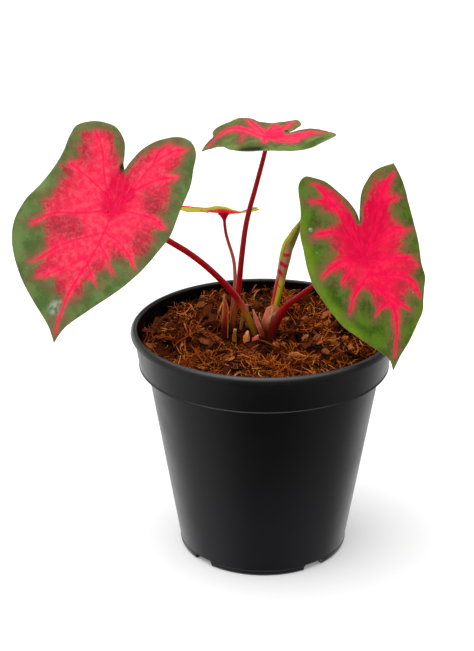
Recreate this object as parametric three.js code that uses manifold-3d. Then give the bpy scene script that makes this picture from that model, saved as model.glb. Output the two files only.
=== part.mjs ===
// A caladium in a black nursery pot: pot, potting mix, tuber, four leaves on their stalks, one new
// leaf that is still rolled, and the sheaths, buds and stubs round the base of the stalks.
// Millimetres, +Z up. The origin is the middle of the pot's foot, on the surface it stands on.
import * as THREE from "three";
import { mergeVertices } from "three/addons/utils/BufferGeometryUtils.js";
import Module from "manifold-3d";

// Pot
const POT_HEIGHT = 116;
const FOOT_RADIUS = 41.8;
const BODY_TOP_RADIUS = 57.2;
const COLLAR_BOTTOM = 96.6;
const COLLAR_BOTTOM_RADIUS = 61;
const COLLAR_TOP_RADIUS = 63.2;
const LIP_RADIUS = 65;
const LIP_HEIGHT = 3.6;
const WALL = 1.5;
const FOOT_RECESS = 2.5;
const POT_SIDES = 60;
const NOTCH_WIDTH = 11.5;
const NOTCH_HEIGHT = 3.2;
const NOTCH_ANGLES = [44, 126, 224, 306];
const DRAIN_RADIUS = 4;

// Potting mix
const SOIL_LEVEL = 108.6;
const SOIL_SIDES = 48;
const SOIL_RINGS = 12;
const BACK_RISE = 2;
const CLUMP_DIP = { x: -2.5, y: -3.5, depth: 4.2, size: 6 };
const LUMPS = 90;
const CHIPS = 34;

// What grows
const GAP = 0.3;
const BLADE_THICKNESS = 0.8;
const TUBER_TOP = 100.2;
const STALK_FOOT = 100.6;
const ROOTS = 7;

// Each blade lies in its own flat coordinates, along its midrib and across it, with the stalk at
// (0, 0). The outline runs on both sides from the notch between the lobes to the tip, and the
// height formula bends the flat blade: droop at the tip and lobes, fold along the midrib, curl at
// the margin, a wave round the edge and a twist.
const LEAVES = {
  left: {
    stalk_end: [-69.5, -38, 186.1],
    along: [-0.416, -0.31, -0.855],
    facing: [-0.151, -0.903, 0.401],
    length: 68,
    half_width: 40,
    droop: 5,
    lobe_droop: 3,
    fold: 5,
    curl: 3,
    wave: 1.6,
    waves: 3.2,
    phase: 0.8,
    shift: 0,
    twist: 0,
    minus_side: [
      [-20, -3], [-22.5, -4.6], [-27, -6.1], [-31.6, -8.4], [-35.3, -13.1], [-36.1, -17.4],
      [-34.5, -24.5], [-29.8, -30.7], [-24.5, -31.9], [-16, -31.9], [-7.9, -33.1], [2.3, -35.7],
      [10.5, -38.5], [22.3, -39.4], [32.5, -36], [42.8, -27.4], [51, -17.1], [58.3, -6.7],
      [64.7, -0.8],
    ],
    plus_side: [
      [-20, -3], [-24, -2.2], [-28.3, -0.9], [-32.3, 0.8], [-37.9, 5.1], [-43, 12.5], [-43.8, 19.1],
      [-40, 24], [-33, 26.1], [-25.1, 28], [-13, 28.3], [-2, 29.2], [6.6, 27.3], [17, 24], [29.5, 18],
      [43.3, 9.1], [54.5, 2], [61, -0.2], [64.7, -0.8],
    ],
  },
  right: {
    stalk_end: [45.2, -30, 161],
    along: [0.252, -0.456, -0.853],
    facing: [0.311, -0.797, 0.518],
    length: 54,
    half_width: 33,
    droop: 5,
    lobe_droop: 3,
    fold: 5,
    curl: 2,
    wave: 1.5,
    waves: 3,
    phase: 1,
    shift: 0,
    twist: 0,
    minus_side: [
      [-17.4, 2.9], [-22, 2.7], [-27.2, 0.8], [-34.1, -3.8], [-39, -8], [-41.8, -13.1], [-43.1, -18],
      [-39.1, -22.2], [-28.5, -24.8], [-17.7, -28.6], [-8.5, -28.7], [3.6, -29.1], [10.7, -28],
      [20.7, -23.5], [28.9, -18.1], [36.8, -9.9], [43.1, -2.9], [47.5, 1.1], [52.6, 2.1],
    ],
    plus_side: [
      [-17.4, 2.9], [-23.6, 4.9], [-31, 8], [-35.6, 11.9], [-39.7, 17.4], [-41, 26], [-40, 27.4],
      [-30, 28.6], [-17, 29.1], [-7, 28.5], [6.5, 26.5], [14, 27], [20.5, 25], [29, 21.9],
      [34.3, 17.9], [41.5, 12.1], [47, 6.7], [52.6, 2.1],
    ],
  },
  top: {
    stalk_end: [0.95, 5, 208.7],
    along: [-0.985, -0.06, -0.03],
    facing: [-0.018, -0.26, 0.965],
    length: 32,
    half_width: 19,
    droop: 5,
    lobe_droop: -3,
    fold: 2.5,
    curl: 1,
    wave: 1.4,
    waves: 2.2,
    phase: 0.9,
    shift: 0.4,
    twist: -3,
    plus_side: [
      [-9.5, -3.4], [-11.8, -3.6], [-15.4, -4.4], [-20.8, -4.6], [-25.9, -2], [-29.3, 2.4],
      [-31.5, 8.1], [-28.3, 12.2], [-23.1, 15.4], [-16.9, 15.7], [-11.6, 15.1], [-5.4, 14.8],
      [1.6, 13.8], [7.7, 11.9], [13.8, 8.7], [18, 5.7], [22.3, 1.6], [31, 1],
    ],
    minus_side: [
      [-9.5, -3.4], [-12.3, -4.9], [-15, -6.7], [-16.9, -9], [-15.2, -13], [-9.8, -13.6],
      [-3.3, -13], [2.2, -12.8], [5.7, -14.6], [9.3, -15.3], [13, -15.4], [18.6, -14.1],
      [23.3, -11.9], [25.1, -9.2], [25.2, -6.4], [28.4, -3], [31, 1],
    ],
  },
  back: {
    stalk_end: [-19.7, 40, 159.9],
    along: [-1, 0, 0.05],
    facing: [0, 0.375, 0.927],
    length: 27,
    half_width: 16,
    droop: -1.6,
    lobe_droop: -4.5,
    fold: 1.9,
    curl: 0.5,
    wave: 1.3,
    waves: 2.4,
    phase: 0.8,
    shift: 0.3,
    twist: 2.2,
    plus_side: [
      [-6, 0.3], [-9.5, 2.8], [-14.5, 5.2], [-17, 9], [-16, 12], [-10, 14.5], [-1, 15], [8, 13],
      [16, 9], [22.5, 4.5], [27, 0],
    ],
    minus_side: [
      [-6, 0.3], [-9.5, -2.8], [-14.5, -5.2], [-17, -9], [-16, -12], [-10, -14], [-1, -14.5],
      [8, -12.5], [16, -9], [22.5, -4.5], [27, 0],
    ],
  },
};
const SIDE_STEPS = 20;
const BLADE_RINGS = [0.25, 0.5, 0.75, 0.92, 1];

// Stalk routes from the tuber to where each blade sits on its stalk, with the radius at equal steps.
const STALKS = {
  left: {
    radii: [1.6, 1.4],
    route: [
      [-4.4, 3.6, STALK_FOOT], [-4.6, 3.4, 110], [-9.5, 2, 122.4], [-15.7, -1, 133.8],
      [-26.3, -6, 147.1], [-35.8, -12, 157.4], [-45.3, -18, 165.9], [-56.8, -25, 176.4],
      [-68.7, -33.5, 184.1],
    ],
  },
  right: {
    radii: [2.3, 2.3, 2.2, 1.75, 1.3, 1.25, 1.2, 1.2, 1.2, 1.2, 1.15],
    route: [
      [3.6, 1, STALK_FOOT], [3.6, 0.9, 109], [5.4, 0.6, 116.2], [9.6, 0, 124.4], [14.4, -3, 130.2],
      [23.2, -9, 139.6], [35.2, -17, 150.8], [43.6, -26, 158.4],
    ],
  },
  top: {
    radii: [1.65, 1.05],
    route: [
      [-15.4, 4.8, STALK_FOOT], [-15.8, 4.6, 109], [-14.4, 5, 120.9], [-12.9, 6, 128.1],
      [-11.1, 6, 147.3], [-9.3, 6, 162.7], [-7.2, 6, 173.2], [-4.7, 6, 182.7], [-0.2, 5.4, 201],
    ],
  },
  back: {
    radii: [1.05, 0.78],
    route: [
      [-14.2, 9.6, STALK_FOOT], [-15.9, 10, 110], [-15.3, 13, 121.2], [-14.2, 18, 130.2],
      [-14.8, 27, 139.1], [-17.9, 36, 147.1], [-19.1, 38.5, 152],
    ],
  },
};
const STALK_SIDES = 8;
const STALK_STEPS = 18;

// The rolled new leaf: its route and its radius at equal steps along it.
const ROLLED_ROUTE = [
  [2, 7.4, STALK_FOOT], [2.2, 7.2, 112], [3.9, 7.1, 119], [5.6, 7, 124.5], [7.7, 7, 134.8],
  [9.9, 7.3, 146.4], [11.4, 7.5, 153.3], [14.7, 8, 160.3], [17.9, 8.5, 167.7],
];
const ROLLED_RADII = [1.6, 1.6, 1.7, 1.85, 2, 2.2, 2.4, 2.75, 2.72, 1.95, 0.12];

// Sheaths are scales with a crescent section that end in a blunt point: their route, outer radius and
// the way their hollow side turns, as an angle about Z. The wide one wraps the rolled leaf.
const SHEATHS = {
  sheath_wide: {
    radius: 3.6,
    turn: 90,
    route: [[2, 7.4, STALK_FOOT], [2.2, 7.2, 112], [3.9, 7.1, 119], [5.4, 7, 125]],
  },
  sheath_narrow: {
    radius: 1.4,
    turn: 150,
    route: [[-0.6, 1.2, STALK_FOOT], [-0.9, 0.6, 109.6], [-3.6, 0.5, 117], [-6.6, 0, 123.9]],
  },
  sheath_left: {
    radius: 2.4,
    turn: 20,
    route: [
      [-18.4, 2.4, STALK_FOOT], [-18.6, 2, 109], [-18.4, 2.4, 118], [-17.9, 2.8, 125.1],
      [-17.4, 3, 130.9],
    ],
  },
  sheath_centre: {
    radius: 1.5,
    turn: 180,
    route: [[-11.6, 6.4, STALK_FOOT], [-11.8, 6.2, 109], [-11.4, 6.6, 116], [-10.2, 7.4, 122]],
  },
};
const SHEATH_STEPS = 12;

// Buds and cut stubs: a foot, a head and the radii there and between.
const SPROUTS = {
  bud_left: { foot: [-9.4, -3.2, STALK_FOOT], head: [-8, -1, 113.2], radii: [1.3, 1.5, 1.7, 0.5] },
  bud_right: { foot: [-6.4, -1.4, STALK_FOOT], head: [-3, -5, 112.6], radii: [1.3, 1.6, 1.8, 0.5] },
  stub_front: { foot: [-14.4, -2.6, STALK_FOOT], head: [-14.2, -4.4, 115.4], radii: [1.1, 1.2, 1.1, 0.8] },
  stub_back: { foot: [-7.6, 9.6, STALK_FOOT], head: [-8.4, 12, 122], radii: [1.1, 1.1, 1, 0.8] },
};

const wasm = await Module();
wasm.setup();

// A closed three.js geometry as a solid that can be joined and cut.
function solid(geometry) {
  const plain = geometry.clone();
  plain.deleteAttribute("normal");
  plain.deleteAttribute("uv");
  const merged = mergeVertices(plain, 1e-4);
  return new wasm.Manifold(
    new wasm.Mesh({
      numProp: 3,
      vertProperties: new Float32Array(merged.attributes.position.array),
      triVerts: new Uint32Array(merged.index.array),
    }),
  );
}

function finish(color, roughness) {
  return new THREE.MeshStandardMaterial({ color, roughness, metalness: 0 });
}

// A solid as a named mesh.
function piece(name, body, material) {
  const made = body.getMesh();
  const geometry = new THREE.BufferGeometry();
  geometry.setAttribute("position", new THREE.BufferAttribute(made.vertProperties, 3));
  geometry.setIndex(new THREE.BufferAttribute(made.triVerts, 1));
  const mesh = new THREE.Mesh(geometry, material);
  mesh.name = name;
  return mesh;
}

// Seeded random numbers from 0 to 1, so that every run gives the same object.
function randoms(seed) {
  let state = seed;
  return () => {
    state = (state + 0x6d2b79f5) | 0;
    let t = Math.imul(state ^ (state >>> 15), 1 | state);
    t = (t + Math.imul(t ^ (t >>> 7), 61 | t)) ^ t;
    return ((t ^ (t >>> 14)) >>> 0) / 4294967296;
  };
}

function smoothCurve(points) {
  return new THREE.CatmullRomCurve3(
    points.map(([x, y, z = 0]) => new THREE.Vector3(x, y, z)),
    false,
    "catmullrom",
    0.5,
  );
}

// A ring of points as a flat section: radiusAt gives the radius at an angle.
function ringSection(sides, radiusAt = () => 1) {
  const points = [];
  for (let k = 0; k < sides; k++) {
    const angle = (2 * Math.PI * k) / sides;
    points.push(
      new THREE.Vector2(Math.cos(angle), Math.sin(angle)).multiplyScalar(radiusAt(angle)),
    );
  }
  return new THREE.Shape(points);
}

// A crescent that is hollow towards +X.
function crescentSection() {
  const half_angle = 1.7;
  const wall = 0.2;
  const arc_steps = 7;
  const outer = [];
  const inner = [];
  for (let k = 0; k <= arc_steps; k++) {
    const angle = Math.PI - half_angle + (2 * half_angle * k) / arc_steps;
    const across = new THREE.Vector2(Math.cos(angle), Math.sin(angle));
    outer.push(across.clone());
    inner.unshift(across.clone().multiplyScalar(1 - wall));
  }
  return new THREE.Shape([...outer, ...inner]);
}

// A section carried along a curve, with its own radius at each step. It is extruded straight
// first, and each layer of points is then set on the curve. The section starts turned about Z, and
// narrowAt closes it, like a fan, towards its -X side.
function sweep(section, curve, steps, radiusAt, turn = 0, narrowAt = () => 1) {
  const straight = new THREE.ExtrudeGeometry(section, { depth: 1, steps, bevelEnabled: false });
  const spots = [];
  const side = new THREE.Vector3(Math.cos(turn), Math.sin(turn), 0);
  for (let k = 0; k <= steps; k++) {
    const forward = curve.getTangentAt(k / steps);
    side.addScaledVector(forward, -side.dot(forward)).normalize();
    const up = new THREE.Vector3().crossVectors(forward, side);
    spots.push({ middle: curve.getPointAt(k / steps), side: side.clone(), up });
  }
  const position = straight.attributes.position;
  const point = new THREE.Vector3();
  for (let i = 0; i < position.count; i++) {
    const share = position.getZ(i);
    const spot = spots[Math.round(share * steps)];
    const radius = radiusAt(share) * Math.hypot(position.getX(i), position.getY(i));
    const away = narrowAt(share) * Math.atan2(position.getY(i), -position.getX(i));
    point.copy(spot.middle);
    point.addScaledVector(spot.side, -radius * Math.cos(away));
    point.addScaledVector(spot.up, radius * Math.sin(away));
    position.setXYZ(i, point.x, point.y, point.z);
  }
  return solid(straight);
}

// A value from a short list of values at equal steps.
function between(values, share) {
  const place = share * (values.length - 1);
  const step = Math.min(Math.floor(place), values.length - 2);
  return THREE.MathUtils.lerp(values[step], values[step + 1], place - step);
}

function lathe(profile, sides) {
  const points = profile.map(([radius, z]) => new THREE.Vector2(radius, z));
  return new THREE.LatheGeometry(points, sides).rotateX(Math.PI / 2);
}

// The inside radius of the pot's plain wall at a height.
function potInside(z) {
  const share = z / COLLAR_BOTTOM;
  return THREE.MathUtils.lerp(FOOT_RADIUS, BODY_TOP_RADIUS, share) - WALL;
}

function pot() {
  const floor = FOOT_RECESS + WALL;
  const lip_bottom = POT_HEIGHT - LIP_HEIGHT;
  const step_height = 2.4;
  const profile = [
    [0, 0],
    [9, 0],
    [10, FOOT_RECESS],
    [37.4, FOOT_RECESS],
    [38.4, 0],
    [FOOT_RADIUS - 0.8, 0],
    [FOOT_RADIUS, 0.9],
    [BODY_TOP_RADIUS, COLLAR_BOTTOM - 0.4],
    [COLLAR_BOTTOM_RADIUS - 0.5, COLLAR_BOTTOM],
    [COLLAR_BOTTOM_RADIUS, COLLAR_BOTTOM + 0.6],
    [COLLAR_TOP_RADIUS, lip_bottom - 0.5],
    [LIP_RADIUS - 0.6, lip_bottom],
    [LIP_RADIUS, lip_bottom + 0.9],
    [LIP_RADIUS - 0.2, POT_HEIGHT - 1],
    [LIP_RADIUS - 1.1, POT_HEIGHT],
    [LIP_RADIUS - 2.4, POT_HEIGHT],
    [LIP_RADIUS - 3.1, POT_HEIGHT - 0.8],
    [COLLAR_BOTTOM_RADIUS - WALL + 0.6, COLLAR_BOTTOM + step_height],
    [potInside(COLLAR_BOTTOM - step_height) + 0.3, COLLAR_BOTTOM],
    [potInside(COLLAR_BOTTOM - step_height), COLLAR_BOTTOM - step_height],
    [potInside(floor), floor + 0.8],
    [potInside(floor) - 0.8, floor],
    [0, floor],
  ];
  let body = solid(lathe(profile, POT_SIDES));

  const corner = 1.6;
  const notch_depth = 9;
  const below = 1;
  const half = NOTCH_WIDTH / 2;
  const arch = new THREE.Shape();
  arch.moveTo(-half, -below);
  arch.lineTo(half, -below);
  arch.lineTo(half, NOTCH_HEIGHT - corner);
  arch.absarc(half - corner, NOTCH_HEIGHT - corner, corner, 0, Math.PI / 2, false);
  arch.absarc(corner - half, NOTCH_HEIGHT - corner, corner, Math.PI / 2, Math.PI, false);
  const notch = new THREE.ExtrudeGeometry(arch, {
    depth: notch_depth,
    bevelEnabled: false,
    curveSegments: 3,
  });
  notch.rotateX(Math.PI / 2).rotateZ(Math.PI / 2);
  notch.translate(FOOT_RADIUS + 3 - notch_depth, 0, 0);

  const drain = new THREE.CylinderGeometry(DRAIN_RADIUS, DRAIN_RADIUS, 4 * WALL, 12);
  drain.rotateX(Math.PI / 2);
  for (const degrees of NOTCH_ANGLES) {
    const turn = THREE.MathUtils.degToRad(degrees);
    body = body.subtract(solid(notch.clone().rotateZ(turn)));
    const outer_hole = drain.clone().translate(30, 0, floor).rotateZ(turn);
    const inner_hole = drain.clone().translate(19, 0, floor).rotateZ(turn + Math.PI / 4);
    body = body.subtract(solid(outer_hole)).subtract(solid(inner_hole));
  }
  return body;
}

function tuber(extra) {
  const middle = new THREE.Vector3(-6.5, 4.5, TUBER_TOP - 9);
  const profile = [
    [0, -9 - extra],
    [8, -8 - extra],
    [13.5 + extra, -4.5],
    [15 + extra, 0],
    [14.2 + extra, 4.5],
    [12, 8 + extra],
    [0, 9 + extra],
  ];
  const corm = lathe(profile, 18);
  corm.translate(...middle);
  let body = solid(corm);
  const random = randoms(11);
  for (let k = 0; k < ROOTS; k++) {
    const angle = (2 * Math.PI * (k + 0.5 * random())) / ROOTS;
    const reach = 24 + 10 * random();
    const drop = 24 + 26 * random();
    const out = (distance, height) => [
      middle.x + distance * Math.cos(angle),
      middle.y + distance * Math.sin(angle),
      middle.z + height,
    ];
    const bend = out(0.8 * reach, -0.6 * drop);
    const curve = smoothCurve([out(8, -1), out(18, -4), bend, out(reach, -drop)]);
    body = body.add(sweep(ringSection(5), curve, 5, (share) => 1 - 0.55 * share + extra));
  }
  return body;
}

// Relief of the potting mix at a place: seeded lumps on a gently uneven bed. Against the back of
// the pot the bed lies higher.
const soil_random = randoms(5);
const lumps = [];
for (let k = 0; k < LUMPS; k++) {
  const angle = 2 * Math.PI * soil_random();
  const distance = 54 * Math.sqrt(soil_random());
  lumps.push({
    x: distance * Math.cos(angle),
    y: distance * Math.sin(angle),
    height: 0.8 + 1.6 * soil_random(),
    size: 3 + 3 * soil_random(),
  });
}
function relief(x, y) {
  let height = 0.7 * Math.sin(0.11 * x + 1) * Math.cos(0.13 * y);
  for (const lump of lumps) {
    const away = ((x - lump.x) ** 2 + (y - lump.y) ** 2) / lump.size ** 2;
    height += lump.height * Math.exp(-away);
  }
  const off_dip = ((x - CLUMP_DIP.x) ** 2 + (y - CLUMP_DIP.y) ** 2) / CLUMP_DIP.size ** 2;
  height -= CLUMP_DIP.depth * Math.exp(-off_dip);
  return height - 1.2;
}

function backRise(y) {
  return BACK_RISE * THREE.MathUtils.smoothstep(y, 18, 50);
}

// The bed: a turned body whose top face is lifted by the relief.
function soilBed() {
  const floor = FOOT_RECESS + WALL + GAP;
  const ledge = COLLAR_BOTTOM - 2.8;
  const rim = SOIL_LEVEL - 1.5;
  const rim_radius = 59;
  const profile = [
    [0, floor],
    [potInside(floor) - 1.4, floor],
    [potInside(floor) - 0.5, floor + 1.2],
    [potInside(ledge) - GAP, ledge],
    [potInside(ledge) - 0.1, COLLAR_BOTTOM],
    [rim_radius + 0.2, COLLAR_BOTTOM + 4],
    [rim_radius + 0.8, rim],
  ];
  for (let k = SOIL_RINGS; k >= 0; k--) {
    profile.push([(rim_radius * k) / SOIL_RINGS, SOIL_LEVEL]);
  }
  const bed = lathe(profile, SOIL_SIDES);
  const position = bed.attributes.position;
  for (let i = 0; i < position.count; i++) {
    if (position.getZ(i) > SOIL_LEVEL - 0.01) {
      const x = position.getX(i);
      const y = position.getY(i);
      const share = Math.min(1, (1.02 * rim_radius - Math.hypot(x, y)) / 6);
      position.setZ(i, SOIL_LEVEL + share * relief(x, y) + backRise(y));
    }
  }
  return solid(bed);
}

// Coir chips that lie on the bed, sunk into it, and keep clear of the stalks.
function chips(body) {
  let joined = body;
  const random = randoms(23);
  for (let k = 0; k < CHIPS; k++) {
    const angle = 2 * Math.PI * (k + random()) * 0.381966;
    const distance = 14 + 41 * Math.sqrt(random());
    const length = 5 + 6 * random();
    const chip = new THREE.CylinderGeometry(0.35, 0.9, length, 4);
    chip.rotateX(0.5 * (random() - 0.5));
    chip.rotateZ(2 * Math.PI * random());
    const x = distance * Math.cos(angle) - 2;
    const y = distance * Math.sin(angle);
    if (Math.hypot(x, y) > 54 || Math.hypot(x + 6, y - 4) < 18) {
      continue;
    }
    chip.translate(x, y, SOIL_LEVEL + relief(x, y) + backRise(y) - 0.2);
    joined = joined.add(solid(chip));
  }
  return joined;
}

function bladeHeight(leaf, along, across) {
  const s = along / leaf.length;
  const q = across / leaf.half_width;
  const end_droop = s > 0 ? leaf.droop : leaf.lobe_droop;
  const fold = leaf.fold * (Math.sqrt(q * q + 0.04) - 0.2);
  const edge = Math.sin(leaf.waves * Math.PI * s + leaf.phase * Math.sign(q) + leaf.shift);
  return (
    -end_droop * s * s + fold - leaf.curl * q ** 4 + leaf.wave * q * q * edge + leaf.twist * s * q
  );
}

// A blade as a thin closed body: rings of points between the stalk and the outline, the same on
// both faces, stitched round the margin.
function blade(leaf) {
  const minus = smoothCurve(leaf.minus_side).getPoints(SIDE_STEPS);
  const plus = smoothCurve(leaf.plus_side).getPoints(SIDE_STEPS);
  const outline = [...minus, ...plus.slice(1, -1).reverse()];
  const count = outline.length;
  const spots = [[0, 0]];
  for (const ring of BLADE_RINGS) {
    for (const point of outline) {
      spots.push([ring * point.x, ring * point.y]);
    }
  }
  const nudge = 0.05;
  const vertices = [];
  for (const face of [1, -1]) {
    for (const [along, across] of spots) {
      const height = bladeHeight(leaf, along, across);
      const slope_along = (bladeHeight(leaf, along + nudge, across) - height) / nudge;
      const slope_across = (bladeHeight(leaf, along, across + nudge) - height) / nudge;
      const normal = new THREE.Vector3(-slope_along, -slope_across, 1).normalize();
      const point = new THREE.Vector3(along, across, height);
      point.addScaledVector(normal, (face * BLADE_THICKNESS) / 2);
      vertices.push(point.x, point.y, point.z);
    }
  }
  const top_faces = [];
  for (let k = 0; k < count; k++) {
    const next = (k + 1) % count;
    top_faces.push([0, 1 + k, 1 + next]);
    for (let ring = 0; ring + 1 < BLADE_RINGS.length; ring++) {
      const inner = 1 + ring * count;
      const outer = inner + count;
      top_faces.push([inner + k, outer + k, inner + next]);
      top_faces.push([inner + next, outer + k, outer + next]);
    }
  }
  const under = spots.length;
  const rim = 1 + (BLADE_RINGS.length - 1) * count;
  const faces = [];
  for (const [a, b, c] of top_faces) {
    faces.push(a, b, c, under + a, under + c, under + b);
  }
  for (let k = 0; k < count; k++) {
    const a = rim + k;
    const b = rim + ((k + 1) % count);
    faces.push(a, under + a, b, b, under + a, under + b);
  }
  const geometry = new THREE.BufferGeometry();
  geometry.setAttribute("position", new THREE.Float32BufferAttribute(vertices, 3));
  geometry.setIndex(faces);
  return solid(geometry);
}

// The three directions of a blade: along its midrib, across it, and out of its upper face.
function bladeFrame(leaf) {
  const along = new THREE.Vector3(...leaf.along).normalize();
  const facing = new THREE.Vector3(...leaf.facing);
  facing.addScaledVector(along, -facing.dot(along)).normalize();
  const across = new THREE.Vector3().crossVectors(facing, along);
  return { along, across, facing };
}

// A stalk ends square under its blade, a gap away from it.
function stalkCurve(name) {
  const { facing } = bladeFrame(LEAVES[name]);
  const clearance = BLADE_THICKNESS / 2 + 2 * GAP;
  const end = new THREE.Vector3(...LEAVES[name].stalk_end).addScaledVector(facing, -clearance);
  return smoothCurve([...STALKS[name].route, end.toArray()]);
}

const green = 0x5f7d3c;
const crimson = 0xa8112f;
const object = new THREE.Group();
const channels = [];

for (const name of Object.keys(LEAVES)) {
  const leaf = LEAVES[name];
  const { along, across, facing } = bladeFrame(leaf);
  const mesh = piece(`leaf_${name}_blade`, blade(leaf), finish(green, 0.5));
  mesh.quaternion.setFromRotationMatrix(new THREE.Matrix4().makeBasis(along, across, facing));
  mesh.position.set(...leaf.stalk_end);
  object.add(mesh);

  const stalk = STALKS[name];
  const curve = stalkCurve(name);
  const radiusAt = (share) => between(stalk.radii, share);
  const section = ringSection(STALK_SIDES);
  const body = sweep(section, curve, STALK_STEPS, radiusAt);
  object.add(piece(`leaf_${name}_stalk`, body, finish(crimson, 0.45)));
  channels.push(sweep(section, curve, STALK_STEPS, (share) => radiusAt(share) + GAP));
}

const roll_step = 0.24;
const roll = ringSection(14, (angle) => 0.9 + (roll_step * angle) / (2 * Math.PI));
const rolled_curve = smoothCurve(ROLLED_ROUTE);
const rolled_steps = 20;
const rolledRadius = (share) => between(ROLLED_RADII, share);
const rolled_turn = THREE.MathUtils.degToRad(235);
const rolled = sweep(roll, rolled_curve, rolled_steps, rolledRadius, rolled_turn);
object.add(piece("leaf_rolled", rolled, finish(0x8a8a2a, 0.45)));
channels.push(
  sweep(roll, rolled_curve, rolled_steps, (share) => rolledRadius(share) + 1.2 * GAP, rolled_turn),
);

for (const [name, sheath] of Object.entries(SHEATHS)) {
  const curve = smoothCurve(sheath.route);
  const turn = THREE.MathUtils.degToRad(sheath.turn);
  const pointed = (share) => 1.01 - 0.9 * share ** 7;
  const body = sweep(crescentSection(), curve, SHEATH_STEPS, () => sheath.radius, turn, pointed);
  object.add(piece(name, body, finish(0xb06a5a, 0.5)));
  const channel_radius = sheath.radius + 1.6 * GAP;
  channels.push(sweep(ringSection(12), curve, SHEATH_STEPS, () => channel_radius));
}

for (const [name, sprout] of Object.entries(SPROUTS)) {
  const curve = smoothCurve([sprout.foot, sprout.head]);
  const radiusAt = (share) => between(sprout.radii, share);
  const section = ringSection(STALK_SIDES);
  const steps = 6;
  object.add(piece(name, sweep(section, curve, steps, radiusAt), finish(0xb4713f, 0.6)));
  channels.push(sweep(section, curve, steps, (share) => radiusAt(share) + GAP));
}

// The mix is hollowed for the tuber, its roots and every stalk that comes up through it.
const foot_opening = 2;
const opening_radius = 16;
const cavity = new THREE.CylinderGeometry(opening_radius, opening_radius, foot_opening, 18);
cavity.rotateX(Math.PI / 2).translate(-6.5, 4.5, STALK_FOOT);
let soil = chips(soilBed()).subtract(tuber(GAP)).subtract(solid(cavity));
for (const channel of channels) {
  soil = soil.subtract(channel);
}
object.add(piece("soil", soil, finish(0x5a3420, 0.95)));
object.add(piece("tuber", tuber(0), finish(0x6b4a30, 0.9)));
object.add(piece("pot", pot(), finish(0x1d1e20, 0.5)));

export default object;
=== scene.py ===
import math
import random

import bmesh
import bpy
import numpy as np
from mathutils import Matrix, Vector, noise


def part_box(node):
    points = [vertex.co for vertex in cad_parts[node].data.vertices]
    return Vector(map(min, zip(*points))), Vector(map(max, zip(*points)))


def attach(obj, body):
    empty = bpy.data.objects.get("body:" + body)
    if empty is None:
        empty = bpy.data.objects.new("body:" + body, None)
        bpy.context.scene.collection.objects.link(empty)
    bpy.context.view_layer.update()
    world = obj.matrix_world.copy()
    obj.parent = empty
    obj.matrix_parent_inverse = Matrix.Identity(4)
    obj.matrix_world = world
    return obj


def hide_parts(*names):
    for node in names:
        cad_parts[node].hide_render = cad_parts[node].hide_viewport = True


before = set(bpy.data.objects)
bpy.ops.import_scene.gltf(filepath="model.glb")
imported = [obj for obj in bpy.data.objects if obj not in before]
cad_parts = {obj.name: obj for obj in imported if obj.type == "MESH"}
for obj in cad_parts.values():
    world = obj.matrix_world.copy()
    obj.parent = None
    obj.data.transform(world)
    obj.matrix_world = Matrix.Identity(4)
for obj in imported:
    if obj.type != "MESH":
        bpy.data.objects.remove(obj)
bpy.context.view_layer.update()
mm = 0.001


# ---------------------------------------------------------------------------------------------
# The studio. A plain white floor that runs far back, even white light from all round, one broad
# soft light high on the left, and a camera that looks down on the pot a little.

def shader_tree(holder):
    """The empty node tree of a material or world."""
    holder.use_nodes = True
    holder.node_tree.nodes.clear()
    return holder.node_tree


def plug(tree, value, socket):
    if isinstance(value, bpy.types.NodeSocket):
        tree.links.new(value, socket)
    else:
        socket.default_value = value


def node(tree, kind, values=(), **settings):
    """A new node with its settings, and its input sockets filled by name or number."""
    made = tree.nodes.new(kind)
    for name, value in settings.items():
        setattr(made, name, value)
    for name, value in dict(values).items():
        plug(tree, value, made.inputs[name])
    return made


# The light on a piece is a little over 1, so a paint sends back a little less than it shows.
sent_back = 0.86


def paint(red, green, blue):
    """A colour as it looks under the studio light, from 0 to 255 as on a screen, in the share of
    the light that it sends back."""
    lit = [(c / 255 / 12.92) if c <= 10 else ((c / 255 + 0.055) / 1.055) ** 2.4
           for c in (red, green, blue)]
    return (*[sent_back * part for part in lit], 1.0)


def plain_surface(name, colour, roughness, glow=0.0):
    material = bpy.data.materials.new(name)
    tree = shader_tree(material)
    surface = node(tree, "ShaderNodeBsdfPrincipled", {"Base Color": colour, "Roughness": roughness,
                   "Emission Color": (1, 1, 1, 1), "Emission Strength": glow,
                   "Specular IOR Level": 0.0})
    node(tree, "ShaderNodeOutputMaterial", {"Surface": surface.outputs[0]})
    return material


def to_mesh(name, bm):
    """Turns a finished bmesh into a mesh."""
    mesh = bpy.data.meshes.new(name)
    bm.to_mesh(mesh)
    bm.free()
    return mesh


def to_object(name, bm, *materials):
    """Turns a finished bmesh into an object of the scene."""
    mesh = to_mesh(name, bm)
    for material in materials:
        mesh.materials.append(material)
    made = bpy.data.objects.new(name, mesh)
    bpy.context.scene.collection.objects.link(made)
    return made


floor_reach = 6.0
floor_mesh = bmesh.new()
bmesh.ops.create_grid(floor_mesh, x_segments=4, y_segments=4, size=floor_reach)
floor = to_object("floor", floor_mesh, plain_surface("floor_white", (0.9, 0.9, 0.9, 1), 0.9, glow=0.1))
floor.visible_glossy = False

# Shiny surfaces see a room of their own: dim in front and low, bright on the left, overhead and
# behind, softer on the right.
air = bpy.data.worlds.new("studio_air")
bpy.context.scene.world = air
air_tree = shader_tree(air)
outlook = node(air_tree, "ShaderNodeTexCoord").outputs["Generated"]
heading = node(air_tree, "ShaderNodeSeparateXYZ", {"Vector": outlook})


def ramp(tree, value, low, high, start=0.0, end=1.0):
    """A soft step: start below the low value, end above the high one."""
    made = node(tree, "ShaderNodeMapRange", {"Value": value, "From Min": low, "From Max": high,
                "To Min": start, "To Max": end}, interpolation_type="SMOOTHSTEP")
    return made.outputs["Result"]


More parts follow.
